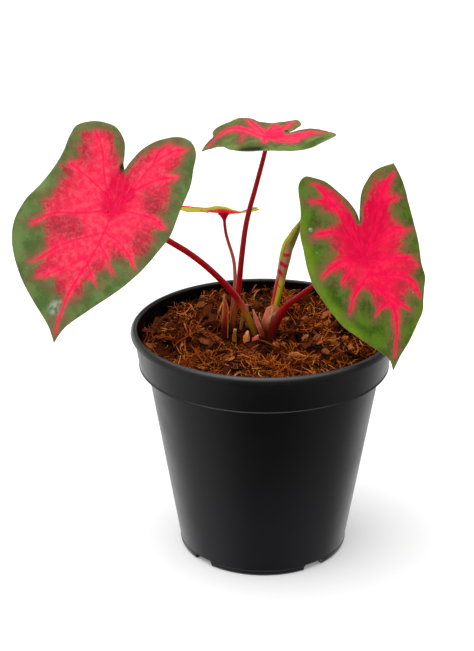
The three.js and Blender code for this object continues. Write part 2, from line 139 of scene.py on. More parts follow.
def sums(tree, operation, first, second=0.0, third=0.0):
    made = node(tree, "ShaderNodeMath", {0: first, 1: second, 2: third}, operation=operation)
    return made.outputs[0]


def times(tree, first, *others):
    """The product of masks and numbers, so that each mask cuts back the others."""
    for other in others:
        first = sums(tree, "MULTIPLY", first, other)
    return first


room_front = 0.12
plain_air = 1.04
left_side = ramp(air_tree, heading.outputs["X"], -0.15, -1.0, 0, 0.55)
right_side = ramp(air_tree, heading.outputs["X"], 0.2, 1.0, 0, 0.22)
low_behind = times(air_tree, ramp(air_tree, heading.outputs["Y"], 0.1, 0.95, 0, 1.1),
                   ramp(air_tree, heading.outputs["Z"], 0.3, 0.0))
overhead = ramp(air_tree, heading.outputs["Z"], 0.45, 0.95, 0, 3.0)
room = room_front
for part in (left_side, right_side, low_behind, overhead):
    room = sums(air_tree, "ADD", room, part)
glossy = node(air_tree, "ShaderNodeLightPath").outputs["Is Glossy Ray"]
strength = sums(air_tree, "MULTIPLY_ADD", glossy, sums(air_tree, "SUBTRACT", room, plain_air), plain_air)
sky = node(air_tree, "ShaderNodeBackground", {"Color": (1, 1, 1, 1), "Strength": strength})
node(air_tree, "ShaderNodeOutputWorld", {"Surface": sky.outputs[0]})

key = bpy.data.lights.new("key", "SUN")
key.energy = 1.3
key.angle = 1.1
key_light = bpy.data.objects.new("key", key)
key_light.rotation_euler = (math.radians(4), math.radians(-20), 0)
bpy.context.scene.collection.objects.link(key_light)

looks_down = 22.43
camera = bpy.data.cameras.new("camera")
camera.sensor_width = 36
camera.lens = 94.0
camera_object = bpy.data.objects.new("camera", camera)
camera_object.location = (-0.0132, -0.7648, 0.4313)
camera_object.rotation_euler = (math.radians(90 - looks_down), 0, 0)
bpy.context.scene.collection.objects.link(camera_object)
bpy.context.scene.camera = camera_object
bpy.context.scene.view_settings.view_transform = "Standard"


# ---------------------------------------------------------------------------------------------
# The pot. A thin-walled nursery pot, injection moulded in black polypropylene: a tapered wall on
# a notched foot, a deep collar with a fine bead under it, and a lip rolled over at the top.

pot_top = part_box("pot")[1].z
lip_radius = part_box("pot")[1].x
foot_radius = 41.8 * mm
wall_top_radius = 57.2 * mm
collar_bottom = 96.6 * mm
collar_bottom_radius = 61 * mm
collar_top_radius = 63.2 * mm
wall = 1.5 * mm
foot_recess = 2.5 * mm
pot_steps = 192
notch_angles = [44, 126, 224, 306]
notch_size = Vector((9, 11.5, 6.4)) * mm
notch_corner = 1.6 * mm
hole_radius = 4 * mm
hole_places = ((30, 0), (19, 45))


def turned(bm, profile, steps):
    """A closed body of revolution, spun from its half profile of (radius, height) points."""
    points = [bm.verts.new((radius, 0, height)) for radius, height in profile]
    edges = [bm.edges.new(pair) for pair in zip(points, points[1:])]
    bmesh.ops.spin(bm, geom=points + edges, cent=(0, 0, 0), axis=(0, 0, 1), angle=2 * math.pi,
                   steps=steps, use_merge=True, use_duplicate=False)
    bmesh.ops.remove_doubles(bm, verts=bm.verts[:], dist=1e-6)
    bmesh.ops.recalc_face_normals(bm, faces=bm.faces[:])


def smoothed(piece, sharp=40):
    """Shades a piece round, except over edges sharper than an angle in degrees."""
    piece.data.shade_smooth()
    piece.data.set_sharp_from_angle(angle=math.radians(sharp))
    return piece


def settled(piece, slot, *nodes):
    """Hangs a finished piece on the plant's one body, in place of its plain solids."""
    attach(piece, "root")
    if nodes:
        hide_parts(*nodes)


def add_piece(name, bm, finish, slot, *nodes, sharp=60):
    """Makes a finished bmesh a piece of the plant, with one finish."""
    settled(smoothed(to_object(name, bm, finish), sharp), slot, *nodes)


def wall_inside(height):
    """Inside radius of the tapered wall."""
    return foot_radius + (wall_top_radius - foot_radius) * height / collar_bottom - wall


floor_top = foot_recess + wall
lip_bottom = pot_top - 3.6 * mm
pot_profile = [
    (0, 0), (9 * mm, 0), (10 * mm, foot_recess), (37.4 * mm, foot_recess), (38.4 * mm, 0),
    (foot_radius - 0.8 * mm, 0), (foot_radius, 0.9 * mm),
    (foot_radius + 0.25 * mm, 2.6 * mm), (foot_radius + 0.05 * mm, 2.9 * mm),
    (wall_top_radius, collar_bottom - 0.4 * mm), (collar_bottom_radius - 0.2 * mm, collar_bottom),
    (collar_bottom_radius + 0.3 * mm, collar_bottom + 0.35 * mm),
    (collar_bottom_radius + 0.28 * mm, collar_bottom + 0.75 * mm),
    (collar_bottom_radius + 0.02 * mm, collar_bottom + 1.1 * mm),
    (collar_top_radius, lip_bottom - 0.5 * mm), (lip_radius - 0.7 * mm, lip_bottom),
    (lip_radius - 0.1 * mm, lip_bottom + 0.4 * mm), (lip_radius, lip_bottom + 0.9 * mm),
    (lip_radius - 0.15 * mm, pot_top - 1.9 * mm), (lip_radius - 0.5 * mm, pot_top - 1.1 * mm),
    (lip_radius - 1.05 * mm, pot_top - 0.4 * mm), (lip_radius - 1.7 * mm, pot_top),
    (lip_radius - 2.4 * mm, pot_top),
    (lip_radius - 2.9 * mm, pot_top - 0.4 * mm), (lip_radius - 3.2 * mm, pot_top - 1.2 * mm),
    (collar_bottom_radius - 0.9 * mm, collar_bottom + 2.4 * mm),
    (wall_inside(collar_bottom) + 0.2 * mm, collar_bottom),
    (wall_inside(collar_bottom - 2.4 * mm), collar_bottom - 2.4 * mm),
    (wall_inside(floor_top), floor_top + 0.8 * mm), (wall_inside(floor_top) - 0.8 * mm, floor_top),
    (0, floor_top),
]
pot_bm = bmesh.new()
turned(pot_bm, pot_profile, pot_steps)
# Faces of the inside, from the roll of the lip down, take the second finish.
for face in pot_bm.faces:
    centre = face.calc_center_median()
    inward = face.normal.x * centre.x + face.normal.y * centre.y < 0
    if inward and floor_top < centre.z < pot_top - mm:
        face.material_index = 1

# Notches in the foot ring and holes in the floor let water out. One cutter holds them all.
cutter_bm = bmesh.new()
for degrees in notch_angles:
    turn = Matrix.Rotation(math.radians(degrees), 4, "Z")
    place = turn @ Matrix.Translation((foot_radius - wall, 0, 0)) @ Matrix.Diagonal((*notch_size, 1))
    cut = bmesh.ops.create_cube(cutter_bm, size=1, matrix=place)["verts"]
    upper = [e for v in cut for e in v.link_edges if all(w.co.z > 0 for w in e.verts)]
    side = [e for e in set(upper) if abs((turn.inverted() @ (e.verts[0].co - e.verts[1].co)).x) > mm]
    bmesh.ops.bevel(cutter_bm, geom=side, offset=notch_corner, segments=4, profile=0.5, affect="EDGES",
                    material=-1)
    for distance, more in hole_places:
        spot = Matrix.Rotation(math.radians(degrees + more), 4, "Z")
        spot = spot @ Matrix.Translation((distance * mm, 0, floor_top))
        bmesh.ops.create_cone(cutter_bm, cap_ends=True, segments=32, radius1=hole_radius,
                              radius2=hole_radius, depth=4 * wall, matrix=spot)


def speckle_noise(tree, place, scale, detail=3.0, roughness=0.55):
    """Cloudy noise from 0 to 1 at a number of patches per unit of the place."""
    made = node(tree, "ShaderNodeTexNoise",
                {"Vector": place, "Scale": scale, "Detail": detail, "Roughness": roughness})
    return made.outputs["Fac"]


# ShaderNodeMix has one A, B and Result for each kind of value. These are the colour ones.
def blended(tree, share, first, second):
    made = tree.nodes.new("ShaderNodeMix")
    made.data_type = "RGBA"
    plug(tree, share, made.inputs[0])
    plug(tree, first, made.inputs[6])
    plug(tree, second, made.inputs[7])
    return made.outputs[2]


def layered(tree, colour, *layers):
    """A colour with others laid over it, each where its own mask says."""
    for mask, tint in layers:
        colour = blended(tree, mask, colour, tint)
    return colour


def dented(tree, height, depth, strength=1.0):
    """A normal bent by a height from 0 to 1, over a depth in metres."""
    made = node(tree, "ShaderNodeBump", {"Height": height, "Distance": depth, "Strength": strength})
    return made.outputs["Normal"]


def finished(tree, surface, colour, roughness, gloss=0.5, relief=None):
    """Fills in a surface: its colour, its roughness, how much it shines, and its bent normal."""
    plug(tree, colour, surface.inputs["Base Color"])
    plug(tree, roughness, surface.inputs["Roughness"])
    surface.inputs["Specular IOR Level"].default_value = gloss
    if relief is not None:
        plug(tree, relief, surface.inputs["Normal"])


def coated(material_name, build):
    """A material whose surface is filled in by build(tree, place, surface)."""
    material = bpy.data.materials.new(material_name)
    tree = shader_tree(material)
    place = node(tree, "ShaderNodeTexCoord").outputs["Object"]
    surface = node(tree, "ShaderNodeBsdfPrincipled")
    node(tree, "ShaderNodeOutputMaterial", {"Surface": surface.outputs[0]})
    build(tree, place, surface)
    return material


def black_plastic(tree, place, surface, gloss=0.4):
    fine = speckle_noise(tree, place, 2600, 2)
    cloudy = speckle_noise(tree, place, 60, 4)
    apart = node(tree, "ShaderNodeSeparateXYZ", {"Vector": place})
    flat = node(tree, "ShaderNodeCombineXYZ", {"X": apart.outputs["X"], "Y": apart.outputs["Y"]})
    radius = node(tree, "ShaderNodeVectorMath", {0: flat.outputs[0]}, operation="LENGTH").outputs["Value"]
    height = apart.outputs["Z"]
    # The wall carries a thin haze of dust that grows towards the foot.
    base = blended(tree, ramp(tree, height, 0.092, 0.005), paint(8, 8, 11), paint(56, 56, 66))
    base = blended(tree, ramp(tree, cloudy, 0.5, 0.75, 0, 0.25), base, paint(34, 34, 36))
    # Everything narrower than the top of the collar, inside and out, is darkened most of the way to
    # near black over the dust; on the inside this is a painted shade for the hollow of the pot. Crumbs
    # of mix cling to the inside above the bed.
    base = blended(tree, ramp(tree, radius, 0.0638, 0.062, 0, 0.8), base, paint(1, 1, 1))
    inside = times(tree, ramp(tree, radius, 0.0623, 0.0617), ramp(tree, height, 0.1148, 0.1085),
                   ramp(tree, height, 0.104, 0.105))
    crumbs = times(tree, inside, ramp(tree, speckle_noise(tree, place, 700, 3), 0.58, 0.64))
    colour = blended(tree, crumbs, base, paint(70, 42, 26))
    finished(tree, surface, colour, ramp(tree, cloudy, 0.3, 0.7, 0.31, 0.38), gloss,
             dented(tree, fine, 0.012 * mm, 0.5))


def shaded_inside(tree, place, surface):
    """The same plastic with its shine turned almost off, a painted shade for the inside of the pot."""
    black_plastic(tree, place, surface, gloss=0.06)


pot = to_object("pot_shell", pot_bm, coated("black_plastic", black_plastic),
                coated("inside_plastic_shaded", shaded_inside))
cutter = to_object("pot_cutter", cutter_bm)
cut_away = pot.modifiers.new("cut", "BOOLEAN")
cut_away.object = cutter
cut_away.operation = "DIFFERENCE"
cut_away.solver = "EXACT"
whole = bpy.data.meshes.new_from_object(pot.evaluated_get(bpy.context.evaluated_depsgraph_get()))
pot.modifiers.clear()
pot.data = whole
bpy.data.objects.remove(cutter)
settled(smoothed(pot, 32), "pot_plastic", "pot")


# ---------------------------------------------------------------------------------------------
# The potting mix. Dark peat with coconut husk, filled to just under the lip: the bed itself, flat
# flakes of husk on it, and fine curled coir fibres, dark below and orange where they are dry.

soil_level = 108.6
soil_rim = 59.0
soil_steps = 220
soil_rings = 90
lump_count = 90
lump_reach = 54


def draws(seed):
    """Repeatable random numbers, so that the lumps lie where the plain solid has them."""
    state = seed

    def draw():
        nonlocal state
        state = (state + 0x6D2B79F5) & 0xFFFFFFFF
        t = ((state ^ (state >> 15)) * (1 | state)) & 0xFFFFFFFF
        t = ((t + ((t ^ (t >> 7)) * (61 | t))) & 0xFFFFFFFF) ^ t
        return (t ^ (t >> 14)) / 4294967296

    return draw


soil_draw = draws(5)
lumps = []
for _ in range(lump_count):
    angle = 2 * math.pi * soil_draw()
    distance = lump_reach * math.sqrt(soil_draw())
    lumps.append((distance * math.cos(angle), distance * math.sin(angle),
                  0.8 + 1.6 * soil_draw(), 3 + 3 * soil_draw()))
lump_x, lump_y, lump_height, lump_size = np.array(lumps).T

# Open hollows between the lumps, one in front of the clump: where they are, how deep, how wide.
hollows = [(-2.5, -3.5, 4.2, 6), (18.5, 27.5, 4.0, 4.5), (11, 21, 2.4, 4), (-38, 4, 3.2, 4),
           (-20, -22, 2.6, 5), (8, -27, 2.0, 4), (33, -16, 2.6, 4), (-30, 20, 3, 4), (12, 30, 2.4, 5),
           (-8, -40, 1.6, 4), (37, 14, 3, 5), (-33, -8, 2.4, 3.5), (25, -8, 2.2, 3.5),
           (-25, 34, 2.4, 4), (44, -2, 2.4, 4)]

# Loose heaps of fibre, the highest against the back wall on the left: where, how high, how wide.
heaps = [(-24, 42, 3.2, 9), (-52, -4, 2.2, 11), (20, 46, 2, 7), (-44, 14, 1.4, 7), (36, -28, 1, 6),
         (-14, -30, 1.2, 6)]


def bed_height(x, y):
    """Height of the bed in millimetres at a place in millimetres. It lies higher at the back."""
    height = 0.7 * math.sin(0.11 * x + 1) * math.cos(0.13 * y) - 1.2
    height += float(np.sum(lump_height * np.exp(-((x - lump_x) ** 2 + (y - lump_y) ** 2) / lump_size ** 2)))
    for hollow_x, hollow_y, depth, size in hollows:
        height -= depth * math.exp(-((x - hollow_x) ** 2 + (y - hollow_y) ** 2) / size ** 2)
    for heap_x, heap_y, rise, size in heaps:
        height += rise * math.exp(-((x - heap_x) ** 2 + (y - heap_y) ** 2) / size ** 2)
    height += 1.2 * noise.noise(Vector((x, y, 3)) * 0.33) + 0.8 * noise.noise(Vector((x, y, 7)) * 0.9)
    fade = min(1, (1.02 * soil_rim - math.hypot(x, y)) / 3)
    back = min(1, max(0, (y - 18) / 32))
    return soil_level + max(0, fade) * height + 2 * back * back * (3 - 2 * back)


ledge = 93.8
soil_profile = [(0, 4.3), (41, 4.3), (41.6, 5.5), (wall_inside(ledge * mm) / mm - 0.3, ledge),
                (wall_inside(ledge * mm) / mm - 0.1, 96.6), (59.2, 100.6), (59.8, 107.1)]
soil_profile += [(soil_rim * k / soil_rings, soil_level) for k in range(soil_rings, -1, -1)]
soil_bm = bmesh.new()
turned(soil_bm, [(radius * mm, height * mm) for radius, height in soil_profile], soil_steps)
for v in soil_bm.verts:
    if v.co.z > (soil_level - 0.01) * mm:
        v.co.z = bed_height(v.co.x / mm, v.co.y / mm) * mm


def dark_peat(tree, place, surface):
    coarse = speckle_noise(tree, place, 240, 5, 0.6)
    fine = speckle_noise(tree, place, 1300, 4, 0.65)
    colour = layered(tree, paint(15, 7, 3),
                     (ramp(tree, coarse, 0.4, 0.66), paint(84, 38, 12)),
                     (ramp(tree, fine, 0.58, 0.75), paint(128, 62, 24)),
                     (ramp(tree, fine, 0.45, 0.32), paint(6, 4, 3)))
    crumb = sums(tree, "MULTIPLY_ADD", fine, 0.6, coarse)
    finished(tree, surface, colour, 0.9, 0.02, dented(tree, crumb, 1.4 * mm))


add_piece("soil_bed", soil_bm, coated("dark_peat", dark_peat), "potting_mix", "soil")


def route_points(spots, count):
    """A smooth line through the spots, as evenly spaced points."""
    spots = [Vector(spot) for spot in spots]
    line = []
    for k in range(len(spots) - 1):
        here, there = spots[k], spots[k + 1]
        before = spots[k - 1] if k else 2 * here - there
        after = spots[k + 2] if k + 2 < len(spots) else 2 * there - here
        for step in range(12):
            t = step / 12
            line.append(0.5 * (2 * here + (there - before) * t
                        + (2 * before - 5 * here + 4 * there - after) * t ** 2
                        + (3 * here - before - 3 * there + after) * t ** 3))
    line.append(spots[-1])
    lengths = [0]
    for here, there in zip(line, line[1:]):
        lengths.append(lengths[-1] + (there - here).length)
    even, k = [], 0
    for step in range(count + 1):
        wanted = lengths[-1] * step / count
        while k < len(line) - 2 and lengths[k + 1] < wanted:
            k += 1
        share = (wanted - lengths[k]) / max(lengths[k + 1] - lengths[k], 1e-9)
        even.append(line[k].lerp(line[k + 1], min(share, 1)))
    return even


def swept(bm, section, spots, steps, radius_at, turn=0.0, narrow_at=lambda share: 1.0):
    """A section carried along a route. It is extruded straight and each layer is then set on the
    route. Its points remember how far along (share) and how far round (around) they are."""
    share_of = bm.verts.layers.float.get("share") or bm.verts.layers.float.new("share")
    around_of = bm.verts.layers.float.get("around") or bm.verts.layers.float.new("around")
    already = set(bm.verts)
    corners = [bm.verts.new((x, y, 0)) for x, y in section]
    base = bm.faces.new(corners)
    raised = bmesh.ops.extrude_face_region(bm, geom=[base], use_keep_orig=True)["geom"]
    bmesh.ops.translate(bm, vec=(0, 0, 1), verts=[g for g in raised if isinstance(g, bmesh.types.BMVert)])
    upright = {e for v in corners for e in v.link_edges if abs(e.verts[0].co.z - e.verts[1].co.z) > 0.5}
    bmesh.ops.subdivide_edges(bm, edges=list(upright), cuts=steps - 1, use_grid_fill=True)
    made = [v for v in bm.verts if v not in already]
    middle = route_points(spots, steps)
    side = Vector((math.cos(turn), math.sin(turn), 0))
    frames = []
    for k in range(steps + 1):
        forward = (middle[min(k + 1, steps)] - middle[max(k - 1, 0)]).normalized()
        side = (side - forward * side.dot(forward)).normalized()
        frames.append((middle[k], side.copy(), forward.cross(side)))
    for v in made:
        share = v.co.z
        spot, across, up = frames[round(share * steps)]
        around = math.atan2(v.co.y, -v.co.x)
        radius = radius_at(share) * math.hypot(v.co.x, v.co.y)
        v[share_of] = share
        v[around_of] = around
        around *= narrow_at(share)
        v.co = spot - across * (radius * math.cos(around)) + up * (radius * math.sin(around))
    return made


def ring(sides, radius_at=lambda angle: 1.0):
    """A round section, or one whose radius changes with the angle."""
    angles = [2 * math.pi * k / sides for k in range(sides)]
    return [(radius_at(a) * math.cos(a), radius_at(a) * math.sin(a)) for a in angles]


def outward(bm):
    bmesh.ops.recalc_face_normals(bm, faces=bm.faces[:])


def strand_shapes(count, length, thick, curl, seed, bends=5):
    """Meshes of single fibres or splinters, each bent its own way, lying along X."""
    dice = random.Random(seed)
    shapes = []
    for _ in range(count):
        heading, lift, spot = 0.0, 0.0, Vector((0, 0, 0))
        spots = [spot.copy()]
        bend = dice.uniform(-curl, curl)
        for _ in range(bends):
            heading += bend + dice.uniform(-curl, curl) * 0.7
            lift = dice.uniform(-0.22, 0.22)
            spot = spot + Vector((math.cos(heading), math.sin(heading), lift)) * (length / bends)
            spots.append(spot.copy())
        centre = sum(spots, Vector()) / len(spots)
        bm = bmesh.new()
        taper = dice.uniform(0.3, 0.8)
        swept(bm, ring(sides=3), [s - centre for s in spots], steps=6, radius_at=lambda share:
              thick * (1 - (1 - taper) * share) * (0.75 + 0.5 * math.sin(math.pi * share)))
        outward(bm)
        shapes.append(to_mesh("strand", bm))
    return shapes


def flake_shapes(count, size, seed):
    """Meshes of torn bits of husk, some thin and cupped, some thick as chips."""
    dice = random.Random(seed)
    shapes = []
    for _ in range(count):
        bm = bmesh.new()
        bmesh.ops.create_circle(bm, cap_ends=True, segments=9, radius=1)
        long = dice.uniform(1.1, 2.6)
        cup = dice.uniform(-0.35, 0.35)
        for v in bm.verts:
            v.co *= dice.uniform(0.6, 1.15)
            v.co.x *= long
            v.co.z = cup * v.co.y ** 2 + dice.uniform(-0.14, 0.14)
            v.co *= size
        bmesh.ops.poke(bm, faces=bm.faces[:])
        bmesh.ops.solidify(bm, geom=bm.faces[:], thickness=size * dice.uniform(0.14, 0.4))
        outward(bm)
        shapes.append(to_mesh("flake", bm))
    return shapes


# What comes up through the mix: place and radius. Scraps lie clear of it, and flakes clear of the
# whole clump.
GROWTH = [(-5, 3.3, 2.4), (3.8, 0.9, 3), (-15.8, 4.7, 2.4), (-15.9, 10, 1.8), (2.4, 7.2, 4.2),
          (-1.4, 0.7, 2), (-18.6, 2, 3), (-11.8, 6.3, 2), (-8.3, 0.2, 2.6), (-4.6, -2.9, 2.8),
          (-14.5, -3.8, 2), (-8, 11, 1.8)]
strewn_to = 58.4
scraps_end = 60.5


def among_stalks(x, y):
    return ((x + 7) / 16) ** 2 + ((y - 1) / 11) ** 2 < 1


def lying_on(facing):
    """The turn that lays a thing's own upward axis along a direction."""
    return facing.to_track_quat("Z", "Y").to_matrix().to_4x4()


def scattered(shapes, count, seed, rise, tilt, size_range, near, clear=0.0):
    """Strews copies of the shapes over the bed, as thick as near(x, y) says. Each has a tone of
    its own, that leans to the tone of its neighbourhood, and none lies where something grows."""
    dice = random.Random(seed)
    bm = bmesh.new()
    tone_of = bm.verts.layers.float.new("tone")
    placed = 0
    while placed < count:
        angle = dice.uniform(0, 2 * math.pi)
        distance = strewn_to * math.sqrt(dice.random())
        x, y = distance * math.cos(angle), distance * math.sin(angle)
        if dice.random() > near(x, y):
            continue
        slope_x = bed_height(x + 1, y) - bed_height(x - 1, y)
        slope_y = bed_height(x, y + 1) - bed_height(x, y - 1)
        lie = lying_on(Vector((-slope_x / 2, -slope_y / 2, 1)).normalized())
        close = among_stalks(x, y)
        tip = 0.3 * tilt if close else tilt
        lean = Matrix.Rotation(dice.gauss(0, tip), 4, "X") @ Matrix.Rotation(dice.gauss(0, tip), 4, "Y")
        turn = Matrix.Rotation(dice.uniform(0, 2 * math.pi), 4, "Z")
        size = dice.uniform(*size_range)
        height = bed_height(x, y) + rise * dice.uniform(-0.3, 0.1 if close else 1)
        copy = dice.choice(shapes).copy()
        copy.transform(Matrix.Translation(Vector((x, y, height)) * mm) @ lie @ lean @ turn
                       @ Matrix.Diagonal((size, size, size, 1)))
        spots = np.array([v.co[:] for v in copy.vertices]) / mm
        fits = np.hypot(spots[:, 0], spots[:, 1]).max() < scraps_end
        for grown_x, grown_y, radius in GROWTH:
            fits = fits and np.hypot(spots[:, 0] - grown_x, spots[:, 1] - grown_y).min() > radius + clear
        if fits:
            already = len(bm.verts)
            bm.from_mesh(copy)
            bm.verts.ensure_lookup_table()
            patch = 0.5 + 0.9 * noise.noise(Vector((x, y, seed)) * 0.16)
            tone = min(1, max(0, 0.7 * dice.random() + 0.3 * patch))
            for k in range(already, len(bm.verts)):
                bm.verts[k][tone_of] = tone
            placed += 1
        bpy.data.meshes.remove(copy)
    return bm


def on_mesh(tree, name):
    """A number that the mesh carries at each of its points."""
    return node(tree, "ShaderNodeAttribute", attribute_name=name).outputs["Fac"]


def husk(dull, warm, pale):
    """A finish for husk or fibre that runs from dull to pale with each scrap's own tone."""
    def build(tree, place, surface):
        tone = on_mesh(tree, "tone")
        fine = speckle_noise(tree, place, 1600, 3)
        colour = layered(tree, dull, (ramp(tree, tone, 0.15, 0.55), warm),
                         (ramp(tree, tone, 0.6, 0.85), pale),
                         (ramp(tree, fine, 0.4, 0.7, 0.0, 0.6), dull))
        finished(tree, surface, colour, 0.7, 0.05, dented(tree, fine, 0.12 * mm, 0.8))
    return build


def thickets(x, y):
    """Fibre lies in tangled drifts with barer peat between."""
    return min(1, max(0.12, 0.55 + 1.5 * noise.noise(Vector((x, y, 4)) * 0.085)))


def husk_places(x, y):
    """Coarse husk lies thick at the back and the sides, and thinner along the front."""
    return 0.35 + 0.65 * min(1, max(0, (y + 30) / 25))


def off_the_clump(x, y):
    return 0 if among_stalks(x, y) else husk_places(x, y)


def dry_places(x, y):
    """Dry fibre lies thickest along the front."""
    return thickets(x, y) * (0.55 + 0.45 * min(1, max(0, (-y - 12) / 28)))


flakes = scattered(flake_shapes(18, 2 * mm, seed=3), count=400, seed=41, rise=2.4, tilt=0.6,
                   size_range=(0.4, 1.4), near=off_the_clump)
husk_brown = husk(paint(26, 10, 4), paint(106, 48, 18), paint(226, 136, 78))
add_piece("husk_flakes", flakes, coated("husk", husk_brown), "potting_mix", sharp=50)

dark_strands = strand_shapes(16, 11 * mm, thick=0.3 * mm, curl=0.38, seed=7)
dark_fibres = scattered(dark_strands, count=1500, seed=17, rise=1.8, tilt=0.34,
                        size_range=(0.35, 1.3), near=thickets, clear=0.6)
coir_brown = husk(paint(22, 8, 2), paint(132, 54, 12), paint(214, 108, 28))
add_piece("dark_fibres", dark_fibres, coated("dark_coir", coir_brown), "potting_mix")

dry_strands = strand_shapes(18, 9 * mm, thick=0.17 * mm, curl=0.45, seed=9)
dry_fibres = scattered(dry_strands, count=1900, seed=29, rise=2.8, tilt=0.4,
                       size_range=(0.35, 1.35), near=dry_places, clear=0.6)
coir_orange = husk(paint(72, 28, 5), paint(216, 102, 24), paint(252, 174, 80))
add_piece("dry_fibres", dry_fibres, coated("dry_coir", coir_orange), "potting_mix")


def metres(route):
    """The points of a route, from millimetres to metres."""
    return [Vector(spot) * mm for spot in route]


# A pale tuft of coir behind the right stalk, and single scraps on the stalks and on the bed.
tuft_strands = 70
tuft_bm = bmesh.new()
for layer in ("share", "around", "tone"):
    tuft_bm.verts.layers.float.new(layer)
tuft_tone = tuft_bm.verts.layers.float["tone"]
dice = random.Random(5)
for _ in range(tuft_strands):
    foot = Vector((20 + dice.gauss(0, 4.0), 46 + dice.gauss(0, 3.6), 0))
    foot.z = bed_height(foot.x, foot.y) + 0.2
    reach = Vector((dice.gauss(0, 1), dice.gauss(0, 1), abs(dice.gauss(0, 0.45)))) * 2.4
    bend = Vector((dice.gauss(0, 0.6), dice.gauss(0, 0.6), 0.7))
    strand = swept(tuft_bm, ring(sides=4), metres([foot, foot + reach / 2 + bend, foot + reach]),
                   steps=5, radius_at=lambda share: (0.34 - 0.18 * share) * mm)
    for v in strand:
        v[tuft_tone] = 0.35 + 0.6 * dice.random()
for spots, thick, tone in (
        ([(-19.8, -2, 146.2), (-19.5, -2.2, 144.3), (-19.9, -2, 141.9)], 0.42, 0.1),
        ([(-20.1, 1, 127.5), (-20.6, 1, 131.5), (-20.1, 1.2, 135.6)], 0.5, 0.6),
        ([(-29.3, -9.4, 149.6), (-29.9, -9.6, 148.9), (-29.5, -9.2, 148.2)], 0.4, 0.2),
        ([(-34, -12, 110), (-30.5, -13.5, 112.5), (-27, -14, 111)], 0.5, 0.8),
        ([(-4, 50, 110.5), (-7, 50, 114), (-10, 49, 116)], 0.4, 0.3),
        ([(-9, 50, 110.5), (-4, 50.5, 114.5), (0, 50, 115.5)], 0.35, 0.2)):
    scrap = swept(tuft_bm, ring(sides=5), metres(spots), steps=8,
                  radius_at=lambda share: thick * (1 - 0.5 * share) * mm)
    for v in scrap:
        v[tuft_tone] = tone
outward(tuft_bm)
coir_pale = husk(paint(60, 28, 14), paint(176, 104, 50), paint(226, 160, 84))
add_piece("coir_tuft", tuft_bm, coated("tuft_coir", coir_pale), "potting_mix")


# ---------------------------------------------------------------------------------------------
# The tuber. The brown, starchy corm that every stalk grows from, with its roots, buried in the
# mix. Its plain solid already has its shape, and takes a corky skin here.

def tuber_bark(tree, place, surface):
    rough = speckle_noise(tree, place, 300, 5)
    colour = blended(tree, ramp(tree, rough, 0.35, 0.65), paint(70, 46, 30), paint(128, 94, 62))
    finished(tree, surface, colour, roughness=0.9, relief=dented(tree, rough, 0.6 * mm))


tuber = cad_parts["tuber"].data
tuber.materials.clear()
tuber.materials.append(coated("tuber_bark", tuber_bark))
